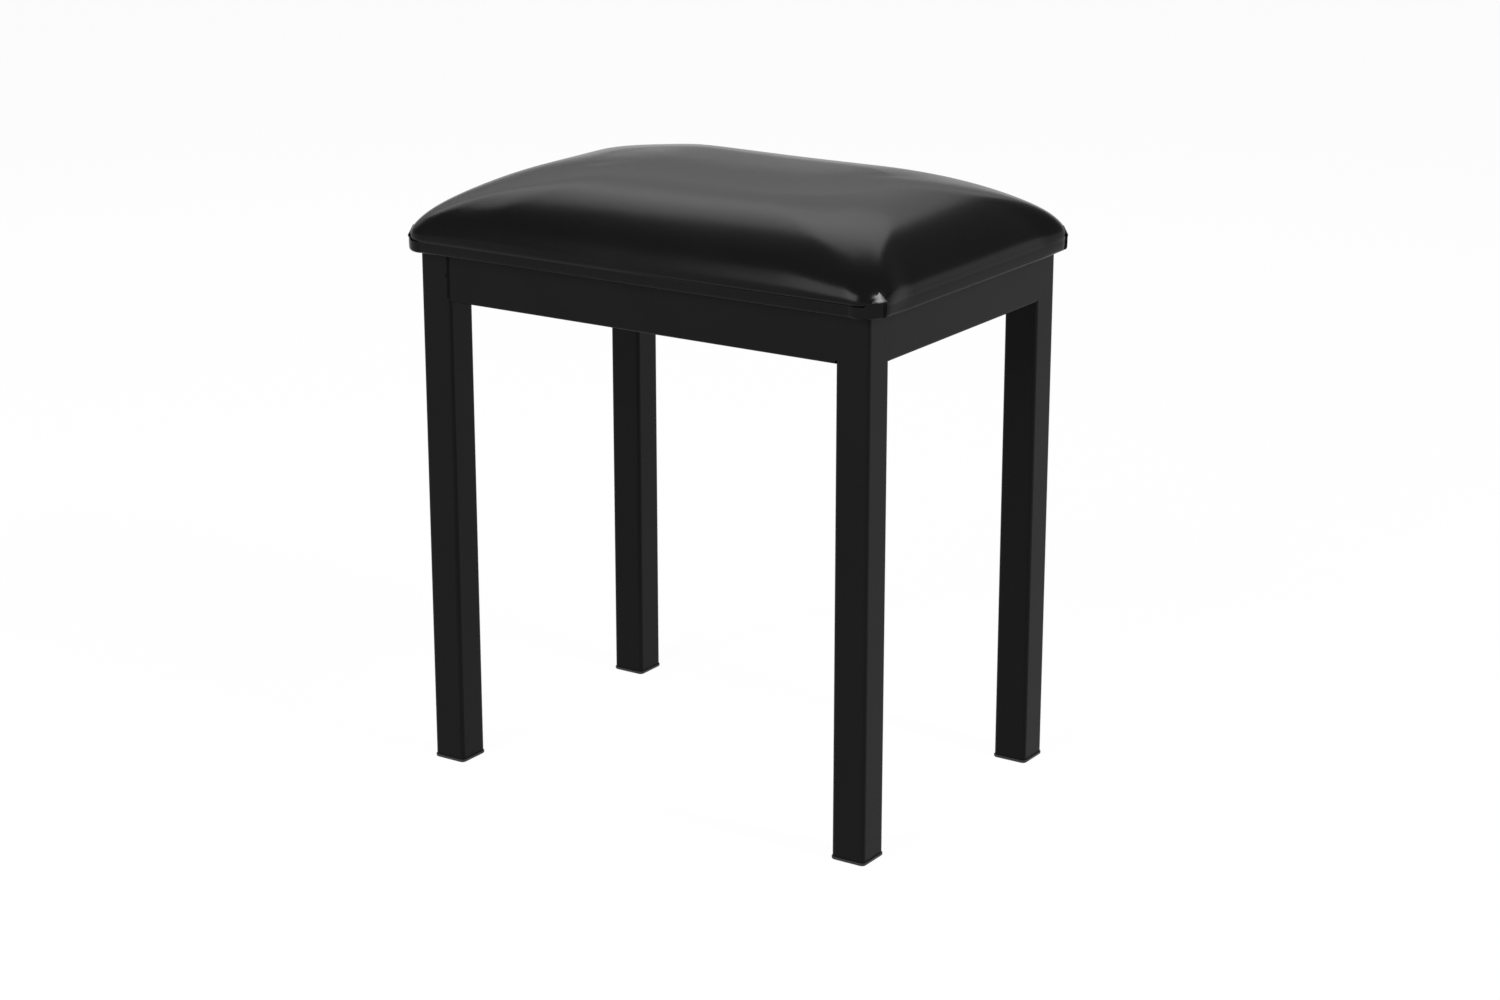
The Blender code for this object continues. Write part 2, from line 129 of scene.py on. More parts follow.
# %% Field: a socket that understands arithmetic
class Field:
    """One output socket of a material, which ordinary expressions can use."""

    def __init__(self, tree, socket):
        self.tree = tree
        self.socket = socket

    def node(self, kind, settings=None, sockets=None, output=0):
        """Adds a node: first its settings, then the values or links of its sockets."""
        made = self.tree.nodes.new("ShaderNode" + kind)
        for name, value in (settings or {}).items():
            setattr(made, name, value)
        for name, value in (sockets or {}).items():
            if isinstance(value, Field):
                self.tree.links.new(value.socket, made.inputs[name])
            else:
                made.inputs[name].default_value = value
        return Field(self.tree, made.outputs[output])

    def maths(self, operation, *values):
        return self.node("Math", {"operation": operation}, dict(enumerate(values)))

    def __add__(self, other):
        return self.maths("ADD", self, other)

    def __radd__(self, other):
        return self.maths("ADD", other, self)

    def __sub__(self, other):
        return self.maths("SUBTRACT", self, other)

    def __rsub__(self, other):
        return self.maths("SUBTRACT", other, self)

    def __mul__(self, other):
        return self.maths("MULTIPLY", self, other)

    def __rmul__(self, other):
        return self.maths("MULTIPLY", other, self)


# %% [markdown]
# ## Starting a finish
#
# Every finish starts in the same way: a new material, its Principled shader, and the place on the
# object that the patterns are drawn from. Object coordinates are in metres, so a noise scale of
# 1000 gives spots of about a millimetre. Numbers that are the same all over the surface go
# straight onto the shader's own sockets.

# %% Helpers for the finishes
def start_finish(name, **numbers):
    """A new material: returns it, its shader and the object coordinates."""
    material = bpy.data.materials.new(name)
    material.use_nodes = True
    tree = material.node_tree
    shader = tree.nodes["Principled BSDF"]
    for socket, value in numbers.items():
        shader.inputs[socket.replace("_", " ")].default_value = value
    place = Field(tree, tree.nodes.new("ShaderNodeTexCoord").outputs["Object"])
    return material, shader, place


def connect(shader, socket, field):
    field.tree.links.new(field.socket, shader.inputs[socket])


def spots(place, scale, detail=2.0):
    """Soft noise from 0 to 1, with about this many spots to a metre."""
    return place.node("TexNoise", None, {"Vector": place, "Scale": scale, "Detail": detail})


def stretched(place, *scales):
    """The same place with each axis scaled, so that a pattern can be long in one direction."""
    return place.node("VectorMath", {"operation": "MULTIPLY"}, {0: place, 1: scales})


def coordinate(place, axis):
    """One coordinate of a place: axis 0 is X, 1 is Y and 2 is Z."""
    return place.node("SeparateXYZ", None, {0: place}, output=axis)


def blend_colours(factor, dark, light):
    """A colour between two colours, by a field from 0 to 1."""
    return factor.node("Mix", {"data_type": "RGBA"}, {
        "Factor": factor, 6: (*dark, 1.0), 7: (*light, 1.0),
    }, output=2)


def relief(height, depth, strength):
    """A bump of the given depth in metres, from a height field of 0 to 1."""
    return height.node("Bump", None, {"Height": height, "Distance": depth, "Strength": strength})


def remap(field, low, high, to_low=0.0, to_high=1.0):
    """Stretches the range low to high over another range, and holds it there."""
    return field.node("MapRange", None, {
        "Value": field, "From Min": low, "From Max": high, "To Min": to_low, "To Max": to_high,
    })


def grey(value):
    return (value, value, value)


# %% [markdown]
# ## Vinyl
#
# The seat is covered in black vinyl pressed with a fine leather grain. The grain has rounded
# pebbles of under a millimetre with narrow valleys between them, which Voronoi cells give: the
# distance to the nearest edge is zero in a valley and grows over each pebble. Pores and a slow
# change in gloss keep it from looking like paint.

# %% The vinyl finish
PEBBLES = 950.0
PORES = 2600.0
GRAIN_DEPTH = 0.00002


def make_vinyl():
    material, shader, place = start_finish("vinyl", Specular_IOR_Level=0.075)
    warped = place.node("VectorMath", {"operation": "ADD"}, {
        0: place,
        1: place.node("VectorMath", {"operation": "SCALE"}, {
            0: place.node("TexNoise", None, {"Vector": place, "Scale": 500.0}, output=1),
            "Scale": 0.0009,
        }),
    })
    pebbles = place.node("TexVoronoi", {"feature": "DISTANCE_TO_EDGE"}, {
        "Vector": warped, "Scale": PEBBLES,
    })
    rounded = remap(pebbles, 0.0, 0.32)
    pores = spots(place, PORES)
    height = rounded * 0.75 + pores * 0.25
    handled = spots(place, 9.0, detail=3.0)
    connect(shader, "Base Color", blend_colours(handled, grey(0.0024), grey(0.0044)))
    connect(shader, "Roughness", 0.17 + handled * 0.06 + (1 - rounded) * 0.05)
    connect(shader, "Normal", relief(height, GRAIN_DEPTH, 0.6))
    return material


vinyl = make_vinyl()
print("made", vinyl.name)

# %% [markdown]
# ## Powder coat
#
# The frame is powder coated: a dry paint that melts in an oven and flows together, never quite
# flat. Close to it shows a slight orange peel a millimetre or two across and a finer texture over
# it. It is thin on black steel, so the colour hardly changes, and the life is in the bump and the
# gloss. Near the floor, shoes leave a few dull scuffs.

# %% The powder coat finish
ORANGE_PEEL = 420.0
COAT_TEXTURE = 1900.0
COAT_DEPTH = 0.00006
SCUFFED_TO = 0.12


def make_powder_coat():
    material, shader, place = start_finish("powder_coat", Specular_IOR_Level=0.092)
    peel = spots(place, ORANGE_PEEL)
    fine = spots(place, COAT_TEXTURE)
    cloud = spots(place, 14.0, detail=4.0)
    low_down = remap(coordinate(place, 2), SCUFFED_TO, 0.004)
    scratches = remap(spots(stretched(place, 60.0, 60.0, 420.0), 1.0, detail=5.0), 0.60, 0.72)
    scuffs = scratches * low_down
    tone = cloud * 0.7 + scuffs * 0.5
    colour = blend_colours(tone, (0.0011, 0.0011, 0.0013), (0.0026, 0.0026, 0.0029))
    connect(shader, "Base Color", colour)
    connect(shader, "Roughness", 0.36 + cloud * 0.10 + scuffs * 0.12)
    connect(shader, "Normal", relief(peel * 0.7 + fine * 0.3, COAT_DEPTH, 0.55))
    return material


powder_coat = make_powder_coat()
print("made", powder_coat.name)

# %% [markdown]
# ## Moulded plastic
#
# The foot caps are moulded in a steel tool whose face was spark eroded, so the plastic has an even
# sandy texture. The rim that meets the floor gets rubbed grey first, so the colour is lifted
# there by height.

# %% The plastic finish
SAND = 2400.0
RUBBED_TO = 0.0011


def make_cap_plastic():
    material, shader, place = start_finish("cap_plastic", Specular_IOR_Level=0.35)
    sandy = spots(place, SAND, detail=1.0)
    low_down = remap(coordinate(place, 2), RUBBED_TO, 0.0001)
    rubbed = low_down * remap(spots(place, 160.0, detail=4.0), 0.35, 0.65)
    connect(shader, "Base Color", blend_colours(rubbed, grey(0.009), grey(0.032)))
    connect(shader, "Roughness", 0.46 + sandy * 0.10 + rubbed * 0.12)
    connect(shader, "Normal", relief(sandy, 0.00004, 0.7))
    return material


cap_plastic = make_cap_plastic()
print("made", cap_plastic.name)

# %% [markdown]
# ## Zinc plate
#
# Bolts, washers and nuts are zinc plated. The plating is bright but not a mirror, faintly blue in
# one place and warm in another, with dull patches where it has begun to oxidise.

# %% The zinc finish
def make_zinc():
    material, shader, place = start_finish("zinc_plate", Metallic=1.0)
    tint = spots(place, 180.0, detail=3.0)
    dull = remap(spots(place, 420.0, detail=4.0), 0.45, 0.70)
    brushed = spots(stretched(place, 1.0, 1.0, 5.0), 1500.0)
    connect(shader, "Base Color", blend_colours(tint, (0.60, 0.63, 0.68), (0.70, 0.67, 0.60)))
    connect(shader, "Roughness", 0.24 + dull * 0.20 + brushed * 0.05)
    connect(shader, "Normal", relief(brushed, 0.00003, 0.5))
    return material


zinc_plate = make_zinc()
print("made", zinc_plate.name)

# %% [markdown]
# ## Plywood
#
# The seat board is seven thin sheets of wood, each turned a quarter against the last. Seen at the
# edge the layers change between pale long grain and darker end grain, so a wave along Z picks the
# layer. On the faces the grain is a noise drawn out along X.

# %% The plywood finish
PLIES = 7


def make_plywood():
    material, shader, place = start_finish("plywood", Specular_IOR_Level=0.3)
    layer = (coordinate(place, 2) - BOARD_BOTTOM) * (PLIES / (BOARD_TOP - BOARD_BOTTOM))
    turned = layer.maths("GREATER_THAN", layer.maths("MODULO", layer, 2.0), 1.0)
    grain = spots(stretched(place, 8.0, 160.0, 160.0), 1.0, detail=6.0)
    pores = spots(stretched(place, 90.0, 1300.0, 1300.0), 1.0)
    shade = grain * 0.7 + turned * 0.3
    connect(shader, "Base Color", blend_colours(shade, (0.62, 0.46, 0.28), (0.34, 0.21, 0.11)))
    connect(shader, "Roughness", 0.58 + grain * 0.2)
    connect(shader, "Normal", relief(pores, 0.00008, 0.6))
    return material


plywood = make_plywood()
print("made", plywood.name)

# %% [markdown]
# ## Foam
#
# The foam is a pale open sponge. Only the inside of the pad, around the board, wears it, but it
# gets its cells all the same.

# %% The foam finish
FOAM_CELLS = 1100.0


def make_foam():
    material, shader, place = start_finish("foam", Specular_IOR_Level=0.2)
    cells = place.node("TexVoronoi", {"feature": "F1"}, {"Vector": place, "Scale": FOAM_CELLS})
    open_cells = remap(cells, 0.1, 0.6)
    colour = blend_colours(open_cells, (0.55, 0.50, 0.33), (0.76, 0.72, 0.54))
    connect(shader, "Base Color", colour)
    connect(shader, "Roughness", 0.82 + open_cells * 0.1)
    connect(shader, "Normal", relief(open_cells, 0.0003, 0.8))
    return material


foam = make_foam()
print("made", foam.name)

# %% [markdown]
# ## Dust cloth
#
# The underside is closed with a thin black cloth that isn't woven: plastic threads are spread out
# and welded together at a grid of tiny points. The grid comes from sines of X and Y, and drawn-out
# noise in two directions gives the threads between the points.

# %% The dust cloth finish
POINT_PITCH = 0.0014


def crossed_waves(one, two, pitch):
    """A grid of bumps: the product of a wave along each of two coordinates."""
    turn = 2 * math.pi / pitch
    return one.maths("SINE", one * turn) * two.maths("SINE", two * turn)


def make_dust_cloth():
    material, shader, place = start_finish("dust_cloth", Specular_IOR_Level=0.3, Sheen_Weight=0.15)
    points = crossed_waves(coordinate(place, 0), coordinate(place, 1), POINT_PITCH)
    welded = remap(points, 0.35, 0.75)
    threads_one = spots(stretched(place, 300.0, 2600.0, 900.0), 1.0, detail=3.0)
    threads_two = spots(stretched(place, 2600.0, 300.0, 900.0), 1.0, detail=3.0)
    threads = threads_one * 0.5 + threads_two * 0.5
    connect(shader, "Base Color", blend_colours(threads, grey(0.008), grey(0.030)))
    connect(shader, "Roughness", 0.85 - welded * 0.25)
    connect(shader, "Normal", relief(threads * 0.6 + (1 - welded) * 0.4, 0.00015, 0.8))
    return material


dust_cloth = make_dust_cloth()
print("made", dust_cloth.name)

# %% [markdown]
# ## Painted shade cloth
#
# Vinyl is a plastic skin on a knitted cloth. This near-black cloth, dressed as that backing and as
# a tape, is painted shade: it stands where there is only shadow, in the gap past the cut edge of
# each corner fold and in the open joints of the long rails. A fine weave of two crossed waves is
# enough for such narrow strips.

# %% The painted shade cloth finish
KNIT_PITCH = 0.0007


def make_painted_shade_cloth():
    material, shader, place = start_finish("painted_shade_cloth", Specular_IOR_Level=0.05)
    knit = crossed_waves(coordinate(place, 1), coordinate(place, 2), KNIT_PITCH)
    fuzz = spots(place, 900.0)
    # Nearly black base colour: painted shade for the shadowed gaps and joints where it lies.
    connect(shader, "Base Color", blend_colours(fuzz, grey(0.0010), grey(0.0030)))
    connect(shader, "Roughness", 0.88 + fuzz * 0.10)
    connect(shader, "Normal", relief(knit * 0.5 + 0.5, 0.0001, 0.6))
    return material


painted_shade_cloth = make_painted_shade_cloth()
print("made", painted_shade_cloth.name)

# %% [markdown]
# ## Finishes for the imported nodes
#
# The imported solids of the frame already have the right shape, so they stay and only get a better
# finish. The name of a node says what it is made of. The first start of a name that fits counts,
# so the short one of the rails comes after the longer ones.

# %% Dress the nodes
FINISH_BY_START = {
    "leg_": powder_coat,
    "rail_bracket": powder_coat,
    "rail_bolt": zinc_plate,
    "rail_insert": zinc_plate,
    "rail_": powder_coat,
    "seat_tab": powder_coat,
    "foot_cap": cap_plastic,
    "seat_bolt": zinc_plate,
    "seat_washer": zinc_plate,
    "tee_nut": zinc_plate,
    "seat_board": plywood,
}


def dress_nodes():
    dressed = 0
    for name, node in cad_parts.items():
        finish = next((f for start, f in FINISH_BY_START.items() if name.startswith(start)), None)
        if finish is None:
            continue
        for slot in node.material_slots:
            slot.material = finish
        dressed += 1
    return dressed


print("dressed %d nodes" % dress_nodes())

# %% [markdown]
# ## Turning a shape into a piece
#
# Every new piece ends in the same way: the mesh gets its finish, its smooth faces with sharp edges
# where the angle is large, the body that it rides on, and the slot that it takes its finish from.

# %% Helper for finished pieces
def make_piece(name, shape, finishes, sharp_angle=40.0):
    """Makes an object of a bmesh and lets it ride with the bench."""
    mesh = bpy.data.meshes.new(name)
    shape.to_mesh(mesh)
    shape.free()
    mesh.shade_smooth()
    mesh.set_sharp_from_angle(angle=math.radians(sharp_angle))
    for finish in finishes:
        mesh.materials.append(finish)
    piece = bpy.data.objects.new(name, mesh)
    scene.collection.objects.link(piece)
    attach(piece, "root")
    return piece


def add_bevel(piece, width, segments):
    bevel = piece.modifiers.new("bevel", "BEVEL")
    bevel.width = width
    bevel.segments = segments
    bevel.limit_method = "ANGLE"


def smooth_step(low, high, value):
    """0 below low, 1 above high, and an even S between them."""
    share = min(max((value - low) / (high - low), 0.0), 1.0)
    return share * share * (3 - 2 * share)


# %% [markdown]
# ## The shape of the pad
#
# The pad is widest just above the board. From there the vinyl climbs in a convex slope to a broad,
# nearly flat crown. One angle describes the whole climb: at zero the vinyl stands upright at the
# widest ring, at a quarter turn it lies flat at the edge of the crown. Powers of its sine and
# cosine set how full the slope is. The foam bulges along the sides, most on the long ones, and
# is pulled in at the corners, so there are two sets of powers and a share between them. Seen from
# above, the corners of the rings get rounder towards the crown.

# %% The climb of the pad
# Heights
WIDEST = PAD_BOTTOM + 0.0139
CROWN = 0.001
CROWN_TOP = PAD_TOP + 0.0009
# The climb: how far in it goes, its powers, and those of the full sides
RUN = 0.0964
RUN_POWER = 1.18
RISE_POWER = 1.24
FULL_POWER = 1.03
FULL_FROM_CORNER = 0.085
SHORT_SIDE_FULLNESS = 0.15
# The corners of the rings, seen from above
CORNER_RADIUS = 0.0238
CORNER_GROWTH = 0.22
EXTRA_ROUNDING = 0.024
ROUNDING_FROM = 0.008
ROUNDING_TO = 0.062
# The long sides bulge out, and the short ones are pulled in at the top and stand out lower down
BULGE = 0.0018
TIGHT_BULGE_SHARE = 0.3
BULGE_INSET = 0.030
PULL_IN = 0.0026
PULL_LOW = -0.0012
PULL_FROM_CORNER = 0.034
# The grid
CLIMB_RINGS = 26
CROWN_RINGS_X = 27
CROWN_RINGS_Y = 13


def climb_inset(angle):
    return RUN * (1 - max(math.cos(angle), 0.0) ** RUN_POWER)


def climb_height(inset, fullness=0.0):
    """Height of the vinyl at an inset from the widest ring: fullness 0 is a corner, 1 a side."""
    left = max(1 - inset / RUN, 0.0)
    lean = math.sin(math.acos(left ** (1 / RUN_POWER))) ** RISE_POWER
    full = math.sin(math.acos(left ** (1 / FULL_POWER))) ** FULL_POWER
    return WIDEST + (CROWN_TOP - CROWN - WIDEST) * (lean + (full - lean) * fullness)


def fullness_at(short_x, short_y):
    """How much the side bulges, from a ring point's distances to the ring's own corner."""
    if short_y < short_x:
        return smooth_step(0.0, FULL_FROM_CORNER, short_x)
    return SHORT_SIDE_FULLNESS * smooth_step(0.0, FULL_FROM_CORNER, short_y)


def insets(half_width, crown_rings):
    """Distances of all rings from the widest one: the climb, then even steps to the middle."""
    climb = [climb_inset(math.pi / 2 * ring / CLIMB_RINGS) for ring in range(CLIMB_RINGS)]
    step = (half_width - RUN) / crown_rings
    return climb + [RUN + step * ring for ring in range(crown_rings + 1)]


insets_x = insets(PAD_HALF_X, CROWN_RINGS_X)
insets_y = insets(PAD_HALF_Y, CROWN_RINGS_Y)
print("rings along X and Y:", len(insets_x) - 1, len(insets_y) - 1)

# %% [markdown]
# ## From a square grid to rounded rings
#
# A flat grid is the simplest mesh with even quads. Its concentric squares become the rings of the
# pad: each ring keeps its straight sides, and the points near its corners slide onto an arc. The
# grid stays unbroken over the crown, so no pole ever shows in the reflections.

# %% Place a grid point on its ring
ROUNDEST = 0.9
LONG_FROM = 0.15
LONG_TO = 0.75
SLACK_FROM = -0.06
SLACK_TO = 0.17


def ring_radius(inset):
    """Corner radius of a ring: it grows inwards, fastest half way up the climb."""
    extra = EXTRA_ROUNDING * smooth_step(ROUNDING_FROM, ROUNDING_TO, inset)
    return CORNER_RADIUS + CORNER_GROWTH * inset + extra


def on_ring(x, y, half_x, half_y, radius):
    """Moves a point of a square ring, which has these half sizes, onto rounded corners."""
    radius = min(radius, ROUNDEST * half_x, ROUNDEST * half_y)
    short_x = half_x - abs(x)
    short_y = half_y - abs(y)
    if radius <= 0.0 or max(short_x, short_y) >= radius:
        return x, y
    eighth = math.pi / 4
    turn = eighth + eighth * (short_x - short_y) / radius
    round_x = half_x - radius + radius * math.cos(turn)
    round_y = half_y - radius + radius * math.sin(turn)
    return math.copysign(round_x, x), math.copysign(round_y, y)


def ring_number(column, row):
    """The ring that a grid point belongs to, and its distances from the near edges in steps."""
    from_x = min(column, 2 * (len(insets_x) - 1) - column)
    from_y = min(row, 2 * (len(insets_y) - 1) - row)
    return min(from_x, from_y), from_x, from_y


def corner_turn(x, y):
    """0 on a short side, 1 on a long side, and an even change round the corner between them."""
    over_x = max(abs(x) - (PAD_HALF_X - CORNER_RADIUS), 0.0)
    over_y = max(abs(y) - (PAD_HALF_Y - CORNER_RADIUS), 0.0)
    return math.atan2(over_y, over_x) / (math.pi / 2) if over_y > 0.0 else 0.0


def long_share(x, y):
    """0 where a point counts as on a short side, 1 where it counts as on a long one."""
    return smooth_step(LONG_FROM, LONG_TO, corner_turn(x, y))


def slackness(x, y):
    """How loose the vinyl of a long side hangs: 0 at one end of it, 1 at the other."""
    return smooth_step(SLACK_FROM, SLACK_TO, x if y < 0 else -x)


def bulge_at(x, y):
    """How far the foam of a long side stands out over the edge of the board."""
    slack_share = (1 - TIGHT_BULGE_SHARE) * slackness(x, y)
    return BULGE * long_share(x, y) * (TIGHT_BULGE_SHARE + slack_share)


def pulled_at(x, y, height):
    """How far the middle of a short side is pulled in, at a height above the pad's bottom."""
    from_corner = PAD_HALF_Y - CORNER_RADIUS - abs(y)
    beside = (1 - long_share(x, y)) * smooth_step(0.0, PULL_FROM_CORNER, from_corner)
    return beside * (PULL_LOW + (PULL_IN - PULL_LOW) * min(height / (WIDEST - PAD_BOTTOM), 1.0))


def crown_place(column, row):
    """Where a grid point goes on the pad."""
    ring, from_x, from_y = ring_number(column, row)
    side_x = -1.0 if column < len(insets_x) - 1 else 1.0
    side_y = -1.0 if row < len(insets_y) - 1 else 1.0
    half_x = PAD_HALF_X - insets_x[ring]
    half_y = PAD_HALF_Y - insets_y[ring]
    x = side_x * (PAD_HALF_X - insets_x[from_x])
    y = side_y * (PAD_HALF_Y - insets_y[from_y])
    fullness = fullness_at(half_x - abs(x), half_y - abs(y))
    x, y = on_ring(x, y, half_x, half_y, ring_radius(insets_y[ring]))
    if ring <= CLIMB_RINGS:
        height = climb_height(insets_y[ring], fullness)
        fading = 1 - smooth_step(0.0, BULGE_INSET, insets_y[ring])
        out_x, out_y = x * PAD_HALF_X / half_x, y * PAD_HALF_Y / half_y
        x -= side_x * fading * pulled_at(out_x, out_y, WIDEST - PAD_BOTTOM)
        y += side_y * fading * bulge_at(out_x, out_y)
    else:
        share = (ring - CLIMB_RINGS) / CROWN_RINGS_Y
        height = CROWN_TOP - CROWN + CROWN * (1 - math.cos(math.pi * share)) / 2
    return Vector((x, y, height))


print("corner radius at the crown: %.0f mm" % (1000 * ring_radius(RUN)))

# %% [markdown]
# ## The side of the pad
#
# Below its widest ring the vinyl turns in under the foam, runs down over the edge of the board,
# turns under it and ends in a cut edge that the dust cloth covers. On the long sides the foam
# bulges over the board and leaves a crease, deepest towards one corner. On the short sides the
# vinyl is pulled almost straight, and leans in towards the top. The same edge loop is extruded
# once for each step down.

# %% The rings below the widest one
DEEP_CREASE = 0.0019
SHALLOW_CREASE = 0.0010
SHORT_SIDE_CREASE = 0.0004
CREASE_DIES_AT = 0.66
TIGHTEST_RADIUS = 0.006
RETURN_INSET = 0.0445
RETURN_LIFT = 0.0002
VINYL_THICKNESS = 0.0008
BOARD_INSET = PAD_HALF_X - BOARD_HALF_X

# Each step: share of the crease, extra inset, height above the bottom of the pad
OUTSIDE_STEPS = [
    (0.04, 0.0000, 0.01290),
    (0.16, 0.0000, 0.01180),
    (0.45, 0.0000, 0.01080),
    (0.88, 0.0000, 0.00990),
    (1.08, 0.0000, 0.00930),
    (1.00, 0.0000, 0.00860),
    (0.92, 0.0000, 0.00650),
    (0.90, 0.0001, 0.00380),
    (0.88, 0.0002, 0.00220),
    (0.88, 0.0006, 0.00120),
    (0.88, 0.0014, 0.00045),
    (0.88, 0.0026, 0.00010),
    (0.80, 0.0050, 0.00000),
]
# Each step round the board inside: inset, height. The first ones still show the vinyl.
VINYL_STEPS = 3
INSIDE_STEPS = [
    (RETURN_INSET - 0.0080, PAD_BOTTOM + RETURN_LIFT),
    (RETURN_INSET, PAD_BOTTOM + RETURN_LIFT),
    (RETURN_INSET, PAD_BOTTOM + RETURN_LIFT + VINYL_THICKNESS),
    (BOARD_INSET + 0.0014, PAD_BOTTOM + RETURN_LIFT + VINYL_THICKNESS),
    (BOARD_INSET - 0.0003, BOARD_BOTTOM + 0.0012),
    (BOARD_INSET - 0.0003, BOARD_TOP + 0.0003),
]


def crease_depth(x, y):
    """How far the band under the bulge lies in, at a point of the widest ring."""
    long_side = SHALLOW_CREASE + (DEEP_CREASE - SHALLOW_CREASE) * slackness(x, y)
    dying = smooth_step(CREASE_DIES_AT, 1.0, corner_turn(x, y))
    return SHORT_SIDE_CREASE + (long_side - SHORT_SIDE_CREASE) * dying


def outside_inset(x, y, share, extra, height):
    """Inset of an outside step: the bulge dies away as the step reaches the crease."""
    bulge = bulge_at(x, y) * (1 - smooth_step(0.0, 0.9, share))
    return share * crease_depth(x, y) + extra - bulge + pulled_at(x, y, height)


def side_place(start, inset, height):
    """Moves a point of the widest ring inwards, square to the ring, and to a height."""
    corner_x = PAD_HALF_X - CORNER_RADIUS
    corner_y = PAD_HALF_Y - CORNER_RADIUS
    radius = max(CORNER_RADIUS - inset, TIGHTEST_RADIUS)
    shift = inset + radius - CORNER_RADIUS
    scale_x = (corner_x - shift) / corner_x
    scale_y = (corner_y - shift) / corner_y
    middle_x = min(max(start.x, -corner_x), corner_x)
    middle_y = min(max(start.y, -corner_y), corner_y)
    x = middle_x * scale_x + (start.x - middle_x) * radius / CORNER_RADIUS
    y = middle_y * scale_y + (start.y - middle_y) * radius / CORNER_RADIUS
    return Vector((x, y, height))


print("rings below the widest one:", len(OUTSIDE_STEPS) + len(INSIDE_STEPS))

# %% [markdown]
# ## Building the pad
#
# The grid is made by one operator and its points are moved onto the crown. Then the outer edge
# loop is extruded down, under and round the board, ring by ring, and the last loop is closed, so
# the pad is one closed skin that holds the board with a small gap.

# %% Build the pad
def grid_place(vert, columns, rows):
    column = round((vert.co.x + 1) / 2 * columns)
    row = round((vert.co.y + 1) / 2 * rows)
    return crown_place(column, row)


def extrude_ring(shape, edges, place):
    """Extrudes an edge loop and puts each new point where place says, from the old point."""
    made = bmesh.ops.extrude_edge_only(shape, edges=edges)["geom"]
    for vert in made:
        if isinstance(vert, bmesh.types.BMVert):
            vert.co = place(vert)
    return [edge for edge in made if isinstance(edge, bmesh.types.BMEdge) and edge.is_boundary]


def build_pad():
    shape = bmesh.new()
    columns = 2 * (len(insets_x) - 1)
    rows = 2 * (len(insets_y) - 1)
    bmesh.ops.create_grid(shape, x_segments=columns, y_segments=rows, size=1.0)
    for vert in shape.verts:
        vert.co = grid_place(vert, columns, rows)
    free = len(shape.verts)
    start_x = shape.verts.layers.float.new("start_x")
    start_y = shape.verts.layers.float.new("start_y")
    for vert in shape.verts:
        pulled = pulled_at(vert.co.x, vert.co.y, WIDEST - PAD_BOTTOM)
        vert[start_x] = vert.co.x + math.copysign(pulled, vert.co.x)
        vert[start_y] = vert.co.y - math.copysign(bulge_at(vert.co.x, vert.co.y), vert.co.y)
    edges = [edge for edge in shape.edges if edge.is_boundary]

    def widest_place(vert):
        return Vector((vert[start_x], vert[start_y], 0.0))

    for share, extra, height in OUTSIDE_STEPS:
        def lower(vert, share=share, extra=extra, height=height):
            start = widest_place(vert)
            inset = outside_inset(start.x, start.y, share, extra, height)
            return side_place(start, inset, PAD_BOTTOM + height)
        edges = extrude_ring(shape, edges, lower)
    outside_faces = len(shape.faces)
    for inset, height in INSIDE_STEPS:
        def inner(vert, inset=inset, height=height):
            return side_place(widest_place(vert), inset, height)
        edges = extrude_ring(shape, edges, inner)
    lid = bmesh.ops.contextual_create(shape, geom=edges)["faces"]
    bmesh.ops.triangulate(shape, faces=lid)
    shape.faces.ensure_lookup_table()
    hidden_from = outside_faces + VINYL_STEPS * len(edges)
    for face in shape.faces[hidden_from:]:
        face.material_index = 1
    bmesh.ops.recalc_face_normals(shape, faces=shape.faces)
    return shape, free


pad_shape, free_points = build_pad()
print("pad: %d points, %d of them free" % (len(pad_shape.verts), free_points))
pad = make_piece("pad", pad_shape, [vinyl, foam], sharp_angle=60.0)

# %% [markdown]
# ## Letting the foam push
#
# Vinyl over foam is a skin under pressure: held at the edge of the board and pushed out from
# inside. Blender's cloth does just that. The points below the widest ring are held, pressure
# pushes the rest out over twenty frames with gravity off, and no point may move further than a
# small cap. Each push is then averaged with its neighbours' again and again, so that the broad
# swell stays and the ripples go. The start shape is sunk by about what the cloth will gain.

# %% Swell the pad
PRESSURE = 4.0
CLOTH_FRAMES = 20
MOST_SWELL = 0.0022
FULL_SWELL_AT = 0.010
SINK = 0.0015
EVENING_ROUNDS = 30
PAD_GROUP = "held"
ON_RING = 0.0001


def evened(piece, pushes):
    """Averages the push of each point with its neighbours', which leaves only the broad swell."""
    near = [[] for _ in pushes]
    for edge in piece.data.edges:
        one, two = edge.vertices
        near[one].append(two)
        near[two].append(one)
    for _ in range(EVENING_ROUNDS):
        pushes = [(push + sum((pushes[n] for n in beside), Vector()) / len(beside)) / 2
                  for push, beside in zip(pushes, near)]
    return pushes


def sink_start(piece, depth):
    """Sinks the free part of the pad, most in the middle, so that the swelling brings it back."""
    for vert in piece.data.vertices[:free_points]:
        rise = (vert.co.z - WIDEST) / (CROWN_TOP - WIDEST)
        vert.co.z -= depth * smooth_step(0.0, 1.0, rise)


